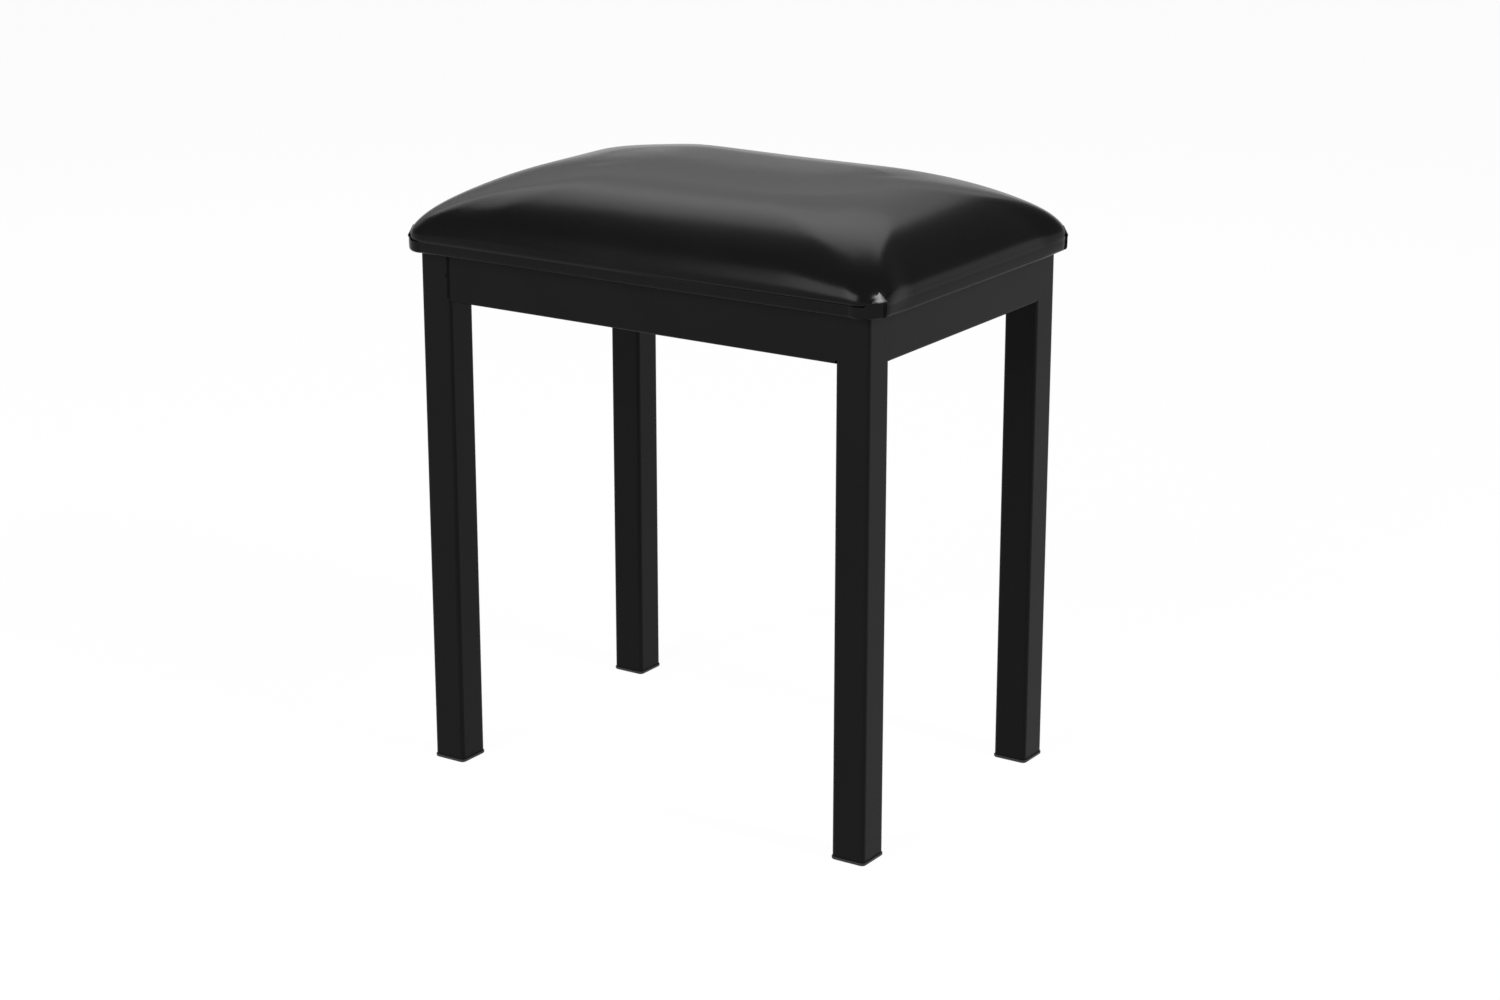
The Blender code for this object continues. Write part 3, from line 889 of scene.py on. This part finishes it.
def swell(piece):
    start = [vert.co.copy() for vert in piece.data.vertices]
    group = piece.vertex_groups.new(name=PAD_GROUP)
    edge_ring = [vert.index for vert in piece.data.vertices[:free_points]
                 if vert.co.z < WIDEST + ON_RING]
    group.add(list(range(free_points, len(start))) + edge_ring, 1.0, "REPLACE")
    cloth = piece.modifiers.new("cloth", "CLOTH")
    settings = cloth.settings
    settings.quality = 6
    settings.mass = 0.4
    settings.tension_stiffness = 40.0
    settings.compression_stiffness = 40.0
    settings.shear_stiffness = 20.0
    settings.bending_stiffness = 4.0
    settings.vertex_group_mass = PAD_GROUP
    settings.use_pressure = True
    settings.uniform_pressure_force = PRESSURE
    settings.effector_weights.gravity = 0.0
    for step in range(1, CLOTH_FRAMES + 1):
        scene.frame_set(step)
    swollen = piece.evaluated_get(bpy.context.evaluated_depsgraph_get())
    moved = [vert.co.copy() for vert in swollen.data.vertices]
    piece.modifiers.remove(cloth)
    scene.frame_set(1)
    pushes = [after - before for before, after in zip(start, moved)]
    most = max(push.length for push in pushes)
    pushes = [push * min(1.0, MOST_SWELL / max(push.length, MOST_SWELL)) for push in pushes]
    for vert, push in list(zip(piece.data.vertices, evened(piece, pushes)))[:free_points]:
        vert.co += push * smooth_step(WIDEST, WIDEST + FULL_SWELL_AT, vert.co.z)
    return most


sink_start(pad, SINK)
print("the cloth moved up to %.1f mm" % (1000 * swell(pad)))

# %% [markdown]
# ## Hand-made unevenness
#
# Foam and vinyl are never a perfect surface: it wavers by a few tenths of a millimetre over a
# hand's width, and a reflection shows that at once. Slow noise moves each point along its normal,
# and fades towards the edge of the board, where the vinyl is held.

# %% Uneven the pad
UNEVEN = 0.0005
UNEVEN_WAVES = 9.0
UNEVEN_START = Vector((3.1, 7.7, 1.3))
FULL_UNEVEN_AT = 0.012


def uneven(piece):
    piece.data.update()
    normals = [vert.normal.copy() for vert in piece.data.vertices]
    for vert, normal in zip(piece.data.vertices[:free_points], normals):
        wave = noise.noise(vert.co * UNEVEN_WAVES + UNEVEN_START)
        grip = smooth_step(WIDEST, WIDEST + FULL_UNEVEN_AT, vert.co.z)
        vert.co += normal * (wave * UNEVEN * grip)


uneven(pad)
subdivision = pad.modifiers.new("subdivision", "SUBSURF")
subdivision.levels = 1
subdivision.render_levels = 1
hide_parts("seat_foam", "seat_cover")
print("pad done")

# %% [markdown]
# ## Folded corners
#
# At a corner the vinyl of the long side is folded double, brought round onto the short side and
# stapled below. The fold ends in an upright cut edge. The strip past it is near-black cloth below
# the ear: painted shade for the dark gap beside the fold. Above both the spare vinyl bunches into a
# small triangular ear, flat enough to mirror one lamp as a bright spot. Each fold is a grid bent
# by a function: it follows the pad's own side, two layers of vinyl further out, and its last
# columns run back down to the pad.

# %% Fold one corner
# Distances round the corner from its middle, negative on the long side
FOLD_FROM = -0.0215
FOLD_FULL_AFTER = 0.010
EAR_RISE = 0.006
EAR_FROM = -0.0015
EAR_PEAK_AT = 0.0062
FOLD_EDGE = 0.0086
EDGE_WIDTH = 0.0010
FOLD_TO = 0.0132
# Heights above the pad's bottom
FOLD_FOOT = 0.0004
FOLD_LEVEL = 0.0070
FOLD_TOP = 0.0098
EAR_BLEND = 0.0015
EAR_BASE = 0.0130
EAR_TOP = 0.0206
STRIP_BELOW_EAR = 0.0008
# How far out from the pad's side, with the two ends tucked in or close to it
FOLD_PROUD = 0.0015
FOLD_TUCKED = 0.0004
STRIP_PROUD = 0.0002
EAR_PROUD = 0.0014
EAR_TUCKED = 0.0003
EAR_FLATNESS = 0.6
# The grid
FOLD_COLUMNS = 48
FOLD_ROWS = 22
STRIP_COLUMNS = 9
FOLD_BEVEL = 0.00025


def walk_outline(distance, inset, radius):
    """A point of the front right corner's outline, at a distance from its middle."""
    half_x = PAD_HALF_X - inset
    half_y = PAD_HALF_Y - inset
    half_arc = radius * math.pi / 4
    centre_x = half_x - radius
    centre_y = half_y - radius
    if distance < -half_arc:
        return centre_x - (-half_arc - distance), half_y
    if distance > half_arc:
        return half_x, centre_y - (distance - half_arc)
    turn = math.pi / 4 - distance / radius
    return centre_x + radius * math.cos(turn), centre_y + radius * math.sin(turn)


def side_inset(height, crease):
    """How far the pad's side lies inside the widest ring, at a height above the pad's bottom."""
    rise = PAD_BOTTOM + height - WIDEST
    if rise > 0:
        share = (rise / (CROWN_TOP - CROWN - WIDEST)) ** (1 / RISE_POWER)
        return climb_inset(math.asin(min(share, 1.0)))
    steps = [(0.0, 0.0, WIDEST - PAD_BOTTOM)] + OUTSIDE_STEPS
    for (share_a, extra_a, top), (share_b, extra_b, bottom) in zip(steps, steps[1:]):
        if height >= bottom:
            part = (top - height) / (top - bottom)
            share = share_a + (share_b - share_a) * part
            return share * crease + extra_a + (extra_b - extra_a) * part
    return steps[-1][0] * crease + steps[-1][1]


def fold_top(distance):
    """Height of the fold's upper edge: low along the long side, then a triangular ear."""
    if distance < EAR_FROM:
        rise = smooth_step(EAR_FROM - EAR_RISE, EAR_FROM, distance)
        return FOLD_TOP + (EAR_BASE - FOLD_TOP) * rise
    if distance < EAR_PEAK_AT:
        share = (distance - EAR_FROM) / (EAR_PEAK_AT - EAR_FROM)
    else:
        share = (FOLD_TO - distance) / (FOLD_TO - EAR_PEAK_AT)
    return EAR_BASE + (EAR_TOP - EAR_BASE) * share


def fold_distance(column):
    """Where a column of the grid lies: the last ones are the strip past the edge, whose lower part
    is painted shade.
    """
    main = FOLD_COLUMNS - STRIP_COLUMNS
    if column <= main:
        return FOLD_FROM + (FOLD_EDGE - FOLD_FROM) * column / main
    return FOLD_EDGE + (FOLD_TO - FOLD_EDGE) * (column - main) / STRIP_COLUMNS


def ear_place(distance, height):
    """The ear is nearly flat: straight lines from a full base up to the pad's own slope."""
    off_middle = distance - (EAR_FROM + FOLD_TO) / 2
    proud = EAR_PROUD + EAR_FLATNESS * off_middle ** 2 / (2 * CORNER_RADIUS)
    base = Vector(walk_outline(distance, -proud, CORNER_RADIUS + proud))
    inset = side_inset(EAR_TOP, 0.0)
    top = Vector(walk_outline(distance, inset - EAR_TUCKED, ring_radius(inset)))
    return base.lerp(top, (height - EAR_BASE) / (EAR_TOP - EAR_BASE))


def fold_place(column, up):
    """Columns run from the long side round to the short one, up from the foot to the top."""
    distance = fold_distance(column)
    height = FOLD_FOOT + (fold_top(distance) - FOLD_FOOT) * up
    base_x, base_y = walk_outline(distance, 0.0, CORNER_RADIUS)
    inset = side_inset(min(height, FOLD_LEVEL), crease_depth(base_x, -base_y))
    starting = smooth_step(FOLD_FROM, FOLD_FROM + FOLD_FULL_AFTER, distance)
    ending = smooth_step(FOLD_EDGE, FOLD_EDGE + EDGE_WIDTH, distance)
    proud = FOLD_PROUD * starting * (1 - ending) - FOLD_TUCKED * (1 - starting)
    proud += STRIP_PROUD * ending
    place = Vector(walk_outline(distance, inset - proud, CORNER_RADIUS - inset + proud))
    if height > EAR_BASE - EAR_BLEND and distance >= EAR_FROM:
        into_ear = smooth_step(EAR_BASE - EAR_BLEND, EAR_BASE, height)
        place = place.lerp(ear_place(distance, height), into_ear)
    return place.x, place.y, PAD_BOTTOM + height


def fold_column(point):
    """Column of the fold's grid at a point of the grid as it is made, 2 metres wide."""
    return (point.x + 1) / 2 * FOLD_COLUMNS


def make_fold(name, side_x, side_y):
    shape = bmesh.new()
    bmesh.ops.create_grid(shape, x_segments=FOLD_COLUMNS, y_segments=FOLD_ROWS, size=1.0)
    strip = [face for face in shape.faces
             if fold_column(face.calc_center_median()) > FOLD_COLUMNS - STRIP_COLUMNS]
    for vert in shape.verts:
        x, y, z = fold_place(round(fold_column(vert.co)), (vert.co.y + 1) / 2)
        vert.co = (side_x * x, side_y * y, z)
    # The lower part of the strip past the edge gets the near-black cloth: painted shade for the gap
    # beside the fold.
    for face in strip:
        if face.calc_center_median().z < PAD_BOTTOM + EAR_BASE - STRIP_BELOW_EAR:
            face.material_index = 1
    bmesh.ops.recalc_face_normals(shape, faces=shape.faces)
    outwards = Vector((side_x, side_y, 0.0))
    total = sum((face.normal * face.calc_area() for face in shape.faces), Vector())
    if total.dot(outwards) < 0:
        bmesh.ops.reverse_faces(shape, faces=shape.faces)
    bmesh.ops.solidify(shape, geom=shape.faces[:], thickness=VINYL_THICKNESS)
    bmesh.ops.recalc_face_normals(shape, faces=shape.faces)
    finishes = [vinyl, painted_shade_cloth]
    fold = make_piece("corner_fold_" + name, shape, finishes, sharp_angle=50.0)
    add_bevel(fold, FOLD_BEVEL, 2)


for corner, side_x, side_y in CORNERS:
    make_fold(corner, side_x, side_y)
print("made four folded corners")

# %% [markdown]
# ## The dust cloth
#
# The cloth is cut to cover the raw edge of the vinyl and stapled there. It is a sheet stretched
# flat that sags a little in the middle. The four seat bolts pass through it, so holes are cut with
# a Boolean, which is simpler and cleaner than building the grid around them.

# %% Make the dust cloth
CLOTH_OVERLAP = 0.006
CLOTH_THICKNESS = 0.0003
CLOTH_TOP = PAD_BOTTOM + RETURN_LIFT - 0.0001
CLOTH_SAG = 0.0016
CLOTH_HALF_X = PAD_HALF_X - RETURN_INSET + CLOTH_OVERLAP
CLOTH_HALF_Y = PAD_HALF_Y - RETURN_INSET + CLOTH_OVERLAP
CLOTH_CORNER = 0.008
CLOTH_COLUMNS = 96
CLOTH_ROWS = 64
RIPPLE = 0.00025
RIPPLE_WAVES = 30
HOLE_RADIUS = 0.0042


def bolt_middle(corner):
    low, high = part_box("seat_bolt_" + corner)
    return (low[0] + high[0]) / 2, (low[1] + high[1]) / 2


def cloth_sag(x, y):
    share_x = max(1 - (x / CLOTH_HALF_X) ** 2, 0.0)
    share_y = max(1 - (y / CLOTH_HALF_Y) ** 2, 0.0)
    return CLOTH_SAG * (share_x * share_y) ** 2


def build_cloth():
    shape = bmesh.new()
    bmesh.ops.create_grid(shape, x_segments=CLOTH_COLUMNS, y_segments=CLOTH_ROWS, size=1.0)
    for vert in shape.verts:
        x, y = vert.co.x * CLOTH_HALF_X, vert.co.y * CLOTH_HALF_Y
        ring = max(abs(vert.co.x), abs(vert.co.y))
        x, y = on_ring(x, y, CLOTH_HALF_X * ring, CLOTH_HALF_Y * ring, CLOTH_CORNER)
        ripple = RIPPLE * noise.noise(Vector((x * RIPPLE_WAVES, y * RIPPLE_WAVES, 0.5)))
        sag = cloth_sag(x, y)
        vert.co = (x, y, CLOTH_TOP - sag + ripple * sag / CLOTH_SAG)
    bmesh.ops.solidify(shape, geom=shape.faces[:], thickness=CLOTH_THICKNESS)
    bmesh.ops.recalc_face_normals(shape, faces=shape.faces)
    top = max(vert.co.z for vert in shape.verts)
    bmesh.ops.translate(shape, verts=shape.verts, vec=(0.0, 0.0, CLOTH_TOP - top))
    return shape


def cut_holes(piece):
    drill_shape = bmesh.new()
    for corner, _, _ in CORNERS:
        x, y = bolt_middle(corner)
        bmesh.ops.create_cone(
            drill_shape, cap_ends=True, segments=32, radius1=HOLE_RADIUS, radius2=HOLE_RADIUS,
            depth=0.01, matrix=Matrix.Translation((x, y, CLOTH_TOP)),
        )
    drill_mesh = bpy.data.meshes.new("drill")
    drill_shape.to_mesh(drill_mesh)
    drill_shape.free()
    drill = bpy.data.objects.new("drill", drill_mesh)
    scene.collection.objects.link(drill)
    hole = piece.modifiers.new("holes", "BOOLEAN")
    hole.solver = "EXACT"
    hole.object = drill
    finished = piece.evaluated_get(bpy.context.evaluated_depsgraph_get())
    cut_mesh = bpy.data.meshes.new_from_object(finished)
    piece.modifiers.remove(hole)
    piece.data = cut_mesh
    bpy.data.objects.remove(drill, do_unlink=True)


cloth_piece = make_piece("dust_cloth", build_cloth(), [dust_cloth])
cut_holes(cloth_piece)
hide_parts("dust_cover")
print("dust cloth: %.0f x %.0f mm" % (2000 * CLOTH_HALF_X, 2000 * CLOTH_HALF_Y))

# %% [markdown]
# ## Staples
#
# A row of staples holds the cloth and the vinyl under it. A staple is a flat wire bent twice: its
# crown lies on the cloth and its legs go up into the board. One is made from a stretched cube,
# which is cut near both ends so that the two end faces on top can be extruded into legs. The rest
# are copies. A hand-held gun never sets two quite alike, so each is turned and moved a little by
# random numbers from a fixed seed.

# %% Make the staples
STAPLE_CROWN = 0.0100
STAPLE_WIRE = 0.0008
STAPLE_DEPTH = 0.0005
STAPLE_LEG = 0.0060
STAPLE_FROM_EDGE = 0.0045
STAPLE_PITCH = 0.033
STAPLE_SKEW = 0.16
STAPLE_SLIP = 0.003


def staple_mesh():
    shape = bmesh.new()
    bmesh.ops.create_cube(shape, size=1.0)
    bmesh.ops.scale(shape, verts=shape.verts, vec=(STAPLE_CROWN, STAPLE_WIRE, STAPLE_DEPTH))
    inner = STAPLE_CROWN / 2 - STAPLE_DEPTH
    for side in (-1, 1):
        whole = shape.verts[:] + shape.edges[:] + shape.faces[:]
        bmesh.ops.bisect_plane(
            shape, geom=whole, plane_co=(side * inner, 0.0, 0.0), plane_no=(1.0, 0.0, 0.0),
        )
    tops = [face for face in shape.faces
            if face.normal.z > 0.9 and abs(face.calc_center_median().x) > inner]
    for leg in bmesh.ops.extrude_discrete_faces(shape, faces=tops)["faces"]:
        bmesh.ops.translate(shape, verts=leg.verts[:], vec=(0.0, 0.0, STAPLE_LEG))
    bmesh.ops.recalc_face_normals(shape, faces=shape.faces)
    mesh = bpy.data.meshes.new("staple")
    shape.to_mesh(mesh)
    shape.free()
    return mesh


def staple_places():
    """Places round the cloth, clear of the tabs in the corners."""
    row_x = CLOTH_HALF_X - STAPLE_FROM_EDGE
    row_y = CLOTH_HALF_Y - STAPLE_FROM_EDGE
    places = []
    for side in (-1, 1):
        for number in range(-4, 5):
            places.append((number * STAPLE_PITCH, side * row_y, 0.0))
        for number in (-1.5, -0.5, 0.5, 1.5):
            places.append((side * row_x, number * STAPLE_PITCH, math.pi / 2))
    return places


def build_staples():
    dice = random.Random(11)
    single = staple_mesh()
    shape = bmesh.new()
    height = CLOTH_TOP - CLOTH_THICKNESS - STAPLE_DEPTH / 2
    for x, y, turn in staple_places():
        before = len(shape.verts)
        shape.from_mesh(single)
        shape.verts.ensure_lookup_table()
        skew = turn + dice.uniform(-STAPLE_SKEW, STAPLE_SKEW)
        slip = dice.uniform(-STAPLE_SLIP, STAPLE_SLIP)
        where = Vector((x, y, height)) + Matrix.Rotation(turn, 3, "Z") @ Vector((slip, 0.0, 0.0))
        matrix = Matrix.Translation(where) @ Matrix.Rotation(skew, 4, "Z")
        bmesh.ops.transform(shape, verts=shape.verts[before:], matrix=matrix)
    return shape


make_piece("staples", build_staples(), [zinc_plate])
print("staples:", len(staple_places()))

# %% [markdown]
# ## Weld beads
#
# The end frames, the tabs and the brackets are welded where nobody looks. A bead is a row of small
# frozen pools: from the side a rounded fillet, along its length a ripple every millimetre or so.
# Each bead is one closed outline, filled and extruded step by step, and every new step is made a
# little thicker or thinner. Its two flanks lie along the two faces that it joins.

# %% Make one bead
BEAD_STEP = 0.0006
RIPPLE_PITCH = 0.0016
RIPPLE_SHARE = 0.10
WAVER_SHARE = 0.22
WAVERS = 260
END_SHARE = 0.35
# Shares of the bead's radius along its two flanks
BEAD_OUTLINE = [
    (-0.02, -0.02), (1.0, -0.02), (0.93, 0.42), (0.74, 0.74), (0.42, 0.93), (-0.02, 1.0),
]


def extrude_outline(shape, corners, steps, place):
    """Extrudes a face with so many corners step by step; place gives the points of each step."""
    ring = bmesh.ops.create_circle(shape, cap_ends=True, segments=corners, radius=1.0)["verts"]
    face = ring[0].link_faces[0]
    for step in range(steps + 1):
        for vert, point in zip(face.verts, place(step)):
            vert.co = point
        if step < steps:
            made = bmesh.ops.extrude_face_region(shape, geom=[face], use_keep_orig=step == 0)
            face = next(part for part in made["geom"] if isinstance(part, bmesh.types.BMFace))


def bead_radius(radius, distance, length, seed):
    """Rippled and uneven, and thinner at both ends."""
    ripple = RIPPLE_SHARE * math.cos(2 * math.pi * distance / RIPPLE_PITCH)
    waver = WAVER_SHARE * noise.noise(Vector((distance * WAVERS, seed, 0.0)))
    end = min(distance, length - distance) / radius
    return radius * (1 + ripple + waver) * (END_SHARE + (1 - END_SHARE) * smooth_step(0, 1, end))


def add_bead(shape, start, along, flank_one, flank_two, length, radius, seed):
    """Adds a bead from start, in the corner between two faces that run off along the flanks."""
    start, along = Vector(start), Vector(along)
    flank_one, flank_two = Vector(flank_one), Vector(flank_two)
    steps = max(int(length / BEAD_STEP), 4)

    def place(step):
        distance = length * step / steps
        size = bead_radius(radius, distance, length, seed)
        for one, two in BEAD_OUTLINE:
            yield start + along * distance + (flank_one * one + flank_two * two) * size

    extrude_outline(shape, len(BEAD_OUTLINE), steps, place)


print("points round a bead:", len(BEAD_OUTLINE))

# %% [markdown]
# ## Where the beads run
#
# All four corners are alike, so the places are measured inwards from the outside of a leg and
# mirrored by the signs of the corner. Each short rail has a bead up its inner side and one under
# it, each tab two short stitches to the rail, and each bracket one bead to the leg.

# %% Lay the beads
BEAD_GAP = 0.0001
# Radius of each kind of bead, and how far it stops short of the ends of its joint
RAIL_BEAD = 0.0030
UNDER_BEAD = 0.0026
TAB_BEAD = 0.0028
BRACKET_BEAD = 0.0024
SHORT_OF_END = 0.002
SHORT_OF_SIDE = 0.0025
# The two stitches under a tab: insets along the short side, and the length of each
STITCHES = (0.0345, 0.0570)
STITCH_LENGTH = 0.0135
TAB_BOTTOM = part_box("seat_tab_front_right")[0][2]
BRACKET_LOW, BRACKET_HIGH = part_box("rail_bracket_front_right")
BRACKET_INSET = BRACKET_HIGH[1] + FRAME_HALF_Y


def lay_beads(shape, side_x, side_y, seed):
    def place(inset_x, inset_y, height):
        return side_x * (FRAME_HALF_X - inset_x), side_y * (FRAME_HALF_Y - inset_y), height

    in_x = (-side_x, 0, 0)
    in_y = (0, -side_y, 0)
    down = (0, 0, -1)
    up = (0, 0, 1)
    rail_side = RAIL_THICKNESS + BEAD_GAP
    leg_side = LEG_SIDE + BEAD_GAP
    rise = TAB_BOTTOM - RAIL_BOTTOM - 2 * SHORT_OF_END
    inside = place(rail_side, leg_side, RAIL_BOTTOM + SHORT_OF_END)
    add_bead(shape, inside, up, in_x, in_y, rise, RAIL_BEAD, seed)
    width = RAIL_THICKNESS - 2 * SHORT_OF_SIDE
    under = place(SHORT_OF_SIDE, leg_side, RAIL_BOTTOM - BEAD_GAP)
    add_bead(shape, under, in_x, down, in_y, width, UNDER_BEAD, seed + 1)
    for inset_y in STITCHES:
        stitch = place(rail_side, inset_y, TAB_BOTTOM - BEAD_GAP)
        add_bead(shape, stitch, in_y, down, in_x, STITCH_LENGTH, TAB_BEAD, seed + inset_y * 100)
    bracket = place(leg_side, BRACKET_INSET + BEAD_GAP, BRACKET_LOW[2] + SHORT_OF_END)
    height = BRACKET_HIGH[2] - BRACKET_LOW[2] - 2 * SHORT_OF_END
    add_bead(shape, bracket, up, in_x, in_y, height, BRACKET_BEAD, seed + 3)


bead_shape = bmesh.new()
for number, (_, side_x, side_y) in enumerate(CORNERS):
    lay_beads(bead_shape, side_x, side_y, 10.0 * number)
bmesh.ops.recalc_face_normals(bead_shape, faces=bead_shape.faces)
weld_beads = make_piece("weld_beads", bead_shape, [powder_coat], sharp_angle=70.0)
print("weld beads: %d faces" % len(weld_beads.data.polygons))

# %% [markdown]
# ## Ground welds
#
# Outside, the joint of each short rail with its legs would show a groove, because the corner of
# the leg is round and the end of the rail is cut square. There it was filled with weld and ground
# flush before coating, and only a faint waver shows in the gloss. The fill is one outline extruded
# up in steps, like the beads.
#
# The long rails are bolted. A dark line shows where the rail meets the left leg and none at the
# near leg: one end butts tight, and at the other a strip of near-black cloth lies in the joint as
# painted shade for that dark line. Both are the same shape turned round the corner of the leg.

# %% Fill the grooves
LEG_CORNER = 0.003
FILL_STEPS = 24
FILL_MARGIN = 0.0014
LONG_MARGIN = 0.0030
FILL_WAVER = 0.00007
FILL_WAVERS = 190
BELOW_FLUSH = 0.00002
OVER_LEG = 0.00004
ON_LEG = 0.0012
TO_RAIL = 0.0003


def fill_outline(waver):
    """Points as (inset from the outside, inset along the short side), from the leg to the rail."""
    middle = LEG_SIDE - LEG_CORNER
    points = [(BELOW_FLUSH + waver, middle - ON_LEG)]
    for share in (0.15, 0.4, 0.65, 0.9):
        turn = share * math.pi / 2
        from_outside = LEG_CORNER * (1 - math.cos(turn)) - OVER_LEG
        points.append((from_outside, middle + LEG_CORNER * math.sin(turn) - OVER_LEG))
    points.append((LEG_CORNER, LEG_SIDE + 0.0002))
    points.append((BELOW_FLUSH + waver * 0.5, LEG_SIDE + TO_RAIL))
    return points


def build_fill(side_x, side_y, seed, along_x=False):
    """The filling of one joint of a leg, with its short rail or, along X, with its long rail."""
    low = RAIL_BOTTOM + (LONG_MARGIN if along_x else FILL_MARGIN)
    high = FRAME_TOP - FILL_MARGIN

    def place(step):
        height = low + (high - low) * step / FILL_STEPS
        waver = FILL_WAVER * noise.noise(Vector((seed, height * FILL_WAVERS, 0.0)))
        for inset_x, inset_y in fill_outline(waver):
            if along_x:
                inset_x, inset_y = inset_y, inset_x
            yield side_x * (FRAME_HALF_X - inset_x), side_y * (FRAME_HALF_Y - inset_y), height

    shape = bmesh.new()
    extrude_outline(shape, len(fill_outline(0.0)), FILL_STEPS, place)
    bmesh.ops.recalc_face_normals(shape, faces=shape.faces)
    return shape


for number, (corner, side_x, side_y) in enumerate(CORNERS):
    fill = build_fill(side_x, side_y, 5.0 + number)
    make_piece("ground_weld_" + corner, fill, [powder_coat], sharp_angle=50.0)
    joint = build_fill(side_x, side_y, 15.0 + number, along_x=True)
    # At one end of each long rail the joint is filled flush; at the other a near-black cloth strip
    # is painted shade for the open joint's dark line.
    if side_x * side_y < 0:
        make_piece("tight_joint_" + corner, joint, [powder_coat], sharp_angle=50.0)
    else:
        make_piece("painted_shade_joint_" + corner, joint, [painted_shade_cloth], sharp_angle=50.0)
print("filled eight grooves")

# %% [markdown]
# ## Floor, backdrop and light
#
# The photograph has a pure white background, so the floor is white too. To the camera and to
# glossy rays most of it glows at a strength of one, and the rest is lit like any matt floor, so
# that the bench keeps a soft shadow. The world does the same: white up to a little above the
# horizon, so that floor and backdrop join, and a dim grey overhead. Black vinyl shows little else
# than reflections, so that grey is what its slopes look like between the lamps.

# %% Floor
FLOOR_RADIUS = 16.0
FLOOR_GLOW = 0.96
FLOOR_GAP = 0.0002


def seen_rays(tree):
    """1 for the rays that show a background: seen as it is, in a mirror or through glass."""
    rays = tree.nodes.new("ShaderNodeLightPath").outputs
    seen = Field(tree, rays["Is Camera Ray"]) + Field(tree, rays["Is Glossy Ray"])
    return seen + Field(tree, rays["Is Transmission Ray"])


def make_floor():
    shape = bmesh.new()
    bmesh.ops.create_circle(shape, cap_ends=True, segments=96, radius=FLOOR_RADIUS)
    bmesh.ops.translate(shape, verts=shape.verts, vec=(0.0, 0.0, -FLOOR_GAP))
    mesh = bpy.data.meshes.new("floor")
    shape.to_mesh(mesh)
    shape.free()
    material = bpy.data.materials.new("white_floor")
    material.use_nodes = True
    tree = material.node_tree
    tree.nodes.clear()
    seen = seen_rays(tree)
    matt = seen.node("BsdfDiffuse", None, {"Color": (0.8, 0.8, 0.8, 1.0)})
    glow = seen.node("Emission", None, {"Color": (1.0, 1.0, 1.0, 1.0), "Strength": 1.0})
    mixed = seen.node("MixShader", None, {0: seen * FLOOR_GLOW, 1: matt, 2: glow})
    output = tree.nodes.new("ShaderNodeOutputMaterial")
    tree.links.new(mixed.socket, output.inputs["Surface"])
    mesh.materials.append(material)
    floor = bpy.data.objects.new("floor", mesh)
    scene.collection.objects.link(floor)


make_floor()
print("floor: %.0f m across" % (2 * FLOOR_RADIUS))

# %% World
# Sines of the heights above the horizon up to which it is white, and from which it is grey
WHITE_TO = 0.105
GREY_FROM = 0.15
# Brightness of the grey where it is seen, and of all the rest of the light
GREY = 0.21
WORLD_FILL = 0.20


def make_world():
    world = bpy.data.worlds.new("studio")
    world.use_nodes = True
    tree = world.node_tree
    tree.nodes.clear()
    scene.world = world
    direction = Field(tree, tree.nodes.new("ShaderNodeTexCoord").outputs["Generated"])
    backdrop = remap(coordinate(direction, 2), WHITE_TO, GREY_FROM, 1.0, GREY)
    seen = seen_rays(tree)
    strength = seen * backdrop + (1 - seen) * WORLD_FILL
    light = tree.nodes.new("ShaderNodeBackground")
    light.inputs["Color"].default_value = (1.0, 1.0, 1.0, 1.0)
    output = tree.nodes.new("ShaderNodeOutputWorld")
    tree.links.new(strength.socket, light.inputs["Strength"])
    tree.links.new(light.outputs[0], output.inputs["Surface"])


make_world()
print("world:", scene.world.name)

# %% [markdown]
# ## Lamps
#
# Two large softboxes hang one above the other behind the bench on its left. The crown of the pad
# mirrors them as one broad grey field that ends where the vinyl begins to fall, and a thin strip
# along the upper one makes the end of that field a little brighter. A card at the front gives the
# bulge over the long side its second band, and a small lamp on the right lights up the ear of the
# fold. A lamp may be rolled about its own axis, which tilts the end of its reflection.

# %% Softboxes
LAMPS = [
    # name, place, looks at, width, height, roll in degrees, watts
    ("high_softbox", (-1.45, 1.61, 2.42), (0.0, 0.0, 0.45), 3.25, 1.00, -7.0, 27.0),
    ("rim_strip", (-1.54, 1.00, 2.82), (-0.09, -0.62, 0.82), 2.20, 0.12, -7.0, 4.5),
    ("low_softbox", (-1.94, 1.74, 1.62), (0.0, 0.0, 0.45), 3.75, 0.90, -3.0, 8.5),
    ("front_card", (-0.34, -2.24, 1.62), (0.0, 0.0, 0.45), 1.7, 1.7, 0.0, 92.0),
    ("corner_lamp", (2.18, -0.06, 1.86), (0.23, -0.15, 0.46), 0.45, 0.45, 0.0, 66.0),
]


def make_lamp(name, place, target, width, height, roll, watts):
    light = bpy.data.lights.new(name, "AREA")
    light.shape = "RECTANGLE"
    light.size = width
    light.size_y = height
    light.energy = watts
    lamp = bpy.data.objects.new(name, light)
    scene.collection.objects.link(lamp)
    lamp.location = place
    aimed = (Vector(target) - Vector(place)).to_track_quat("-Z", "Y")
    lamp.rotation_euler = (aimed @ Quaternion((0.0, 0.0, 1.0), math.radians(roll))).to_euler()


for lamp in LAMPS:
    make_lamp(*lamp)
scene.view_settings.view_transform = "Standard"
print("lamps:", len(LAMPS))
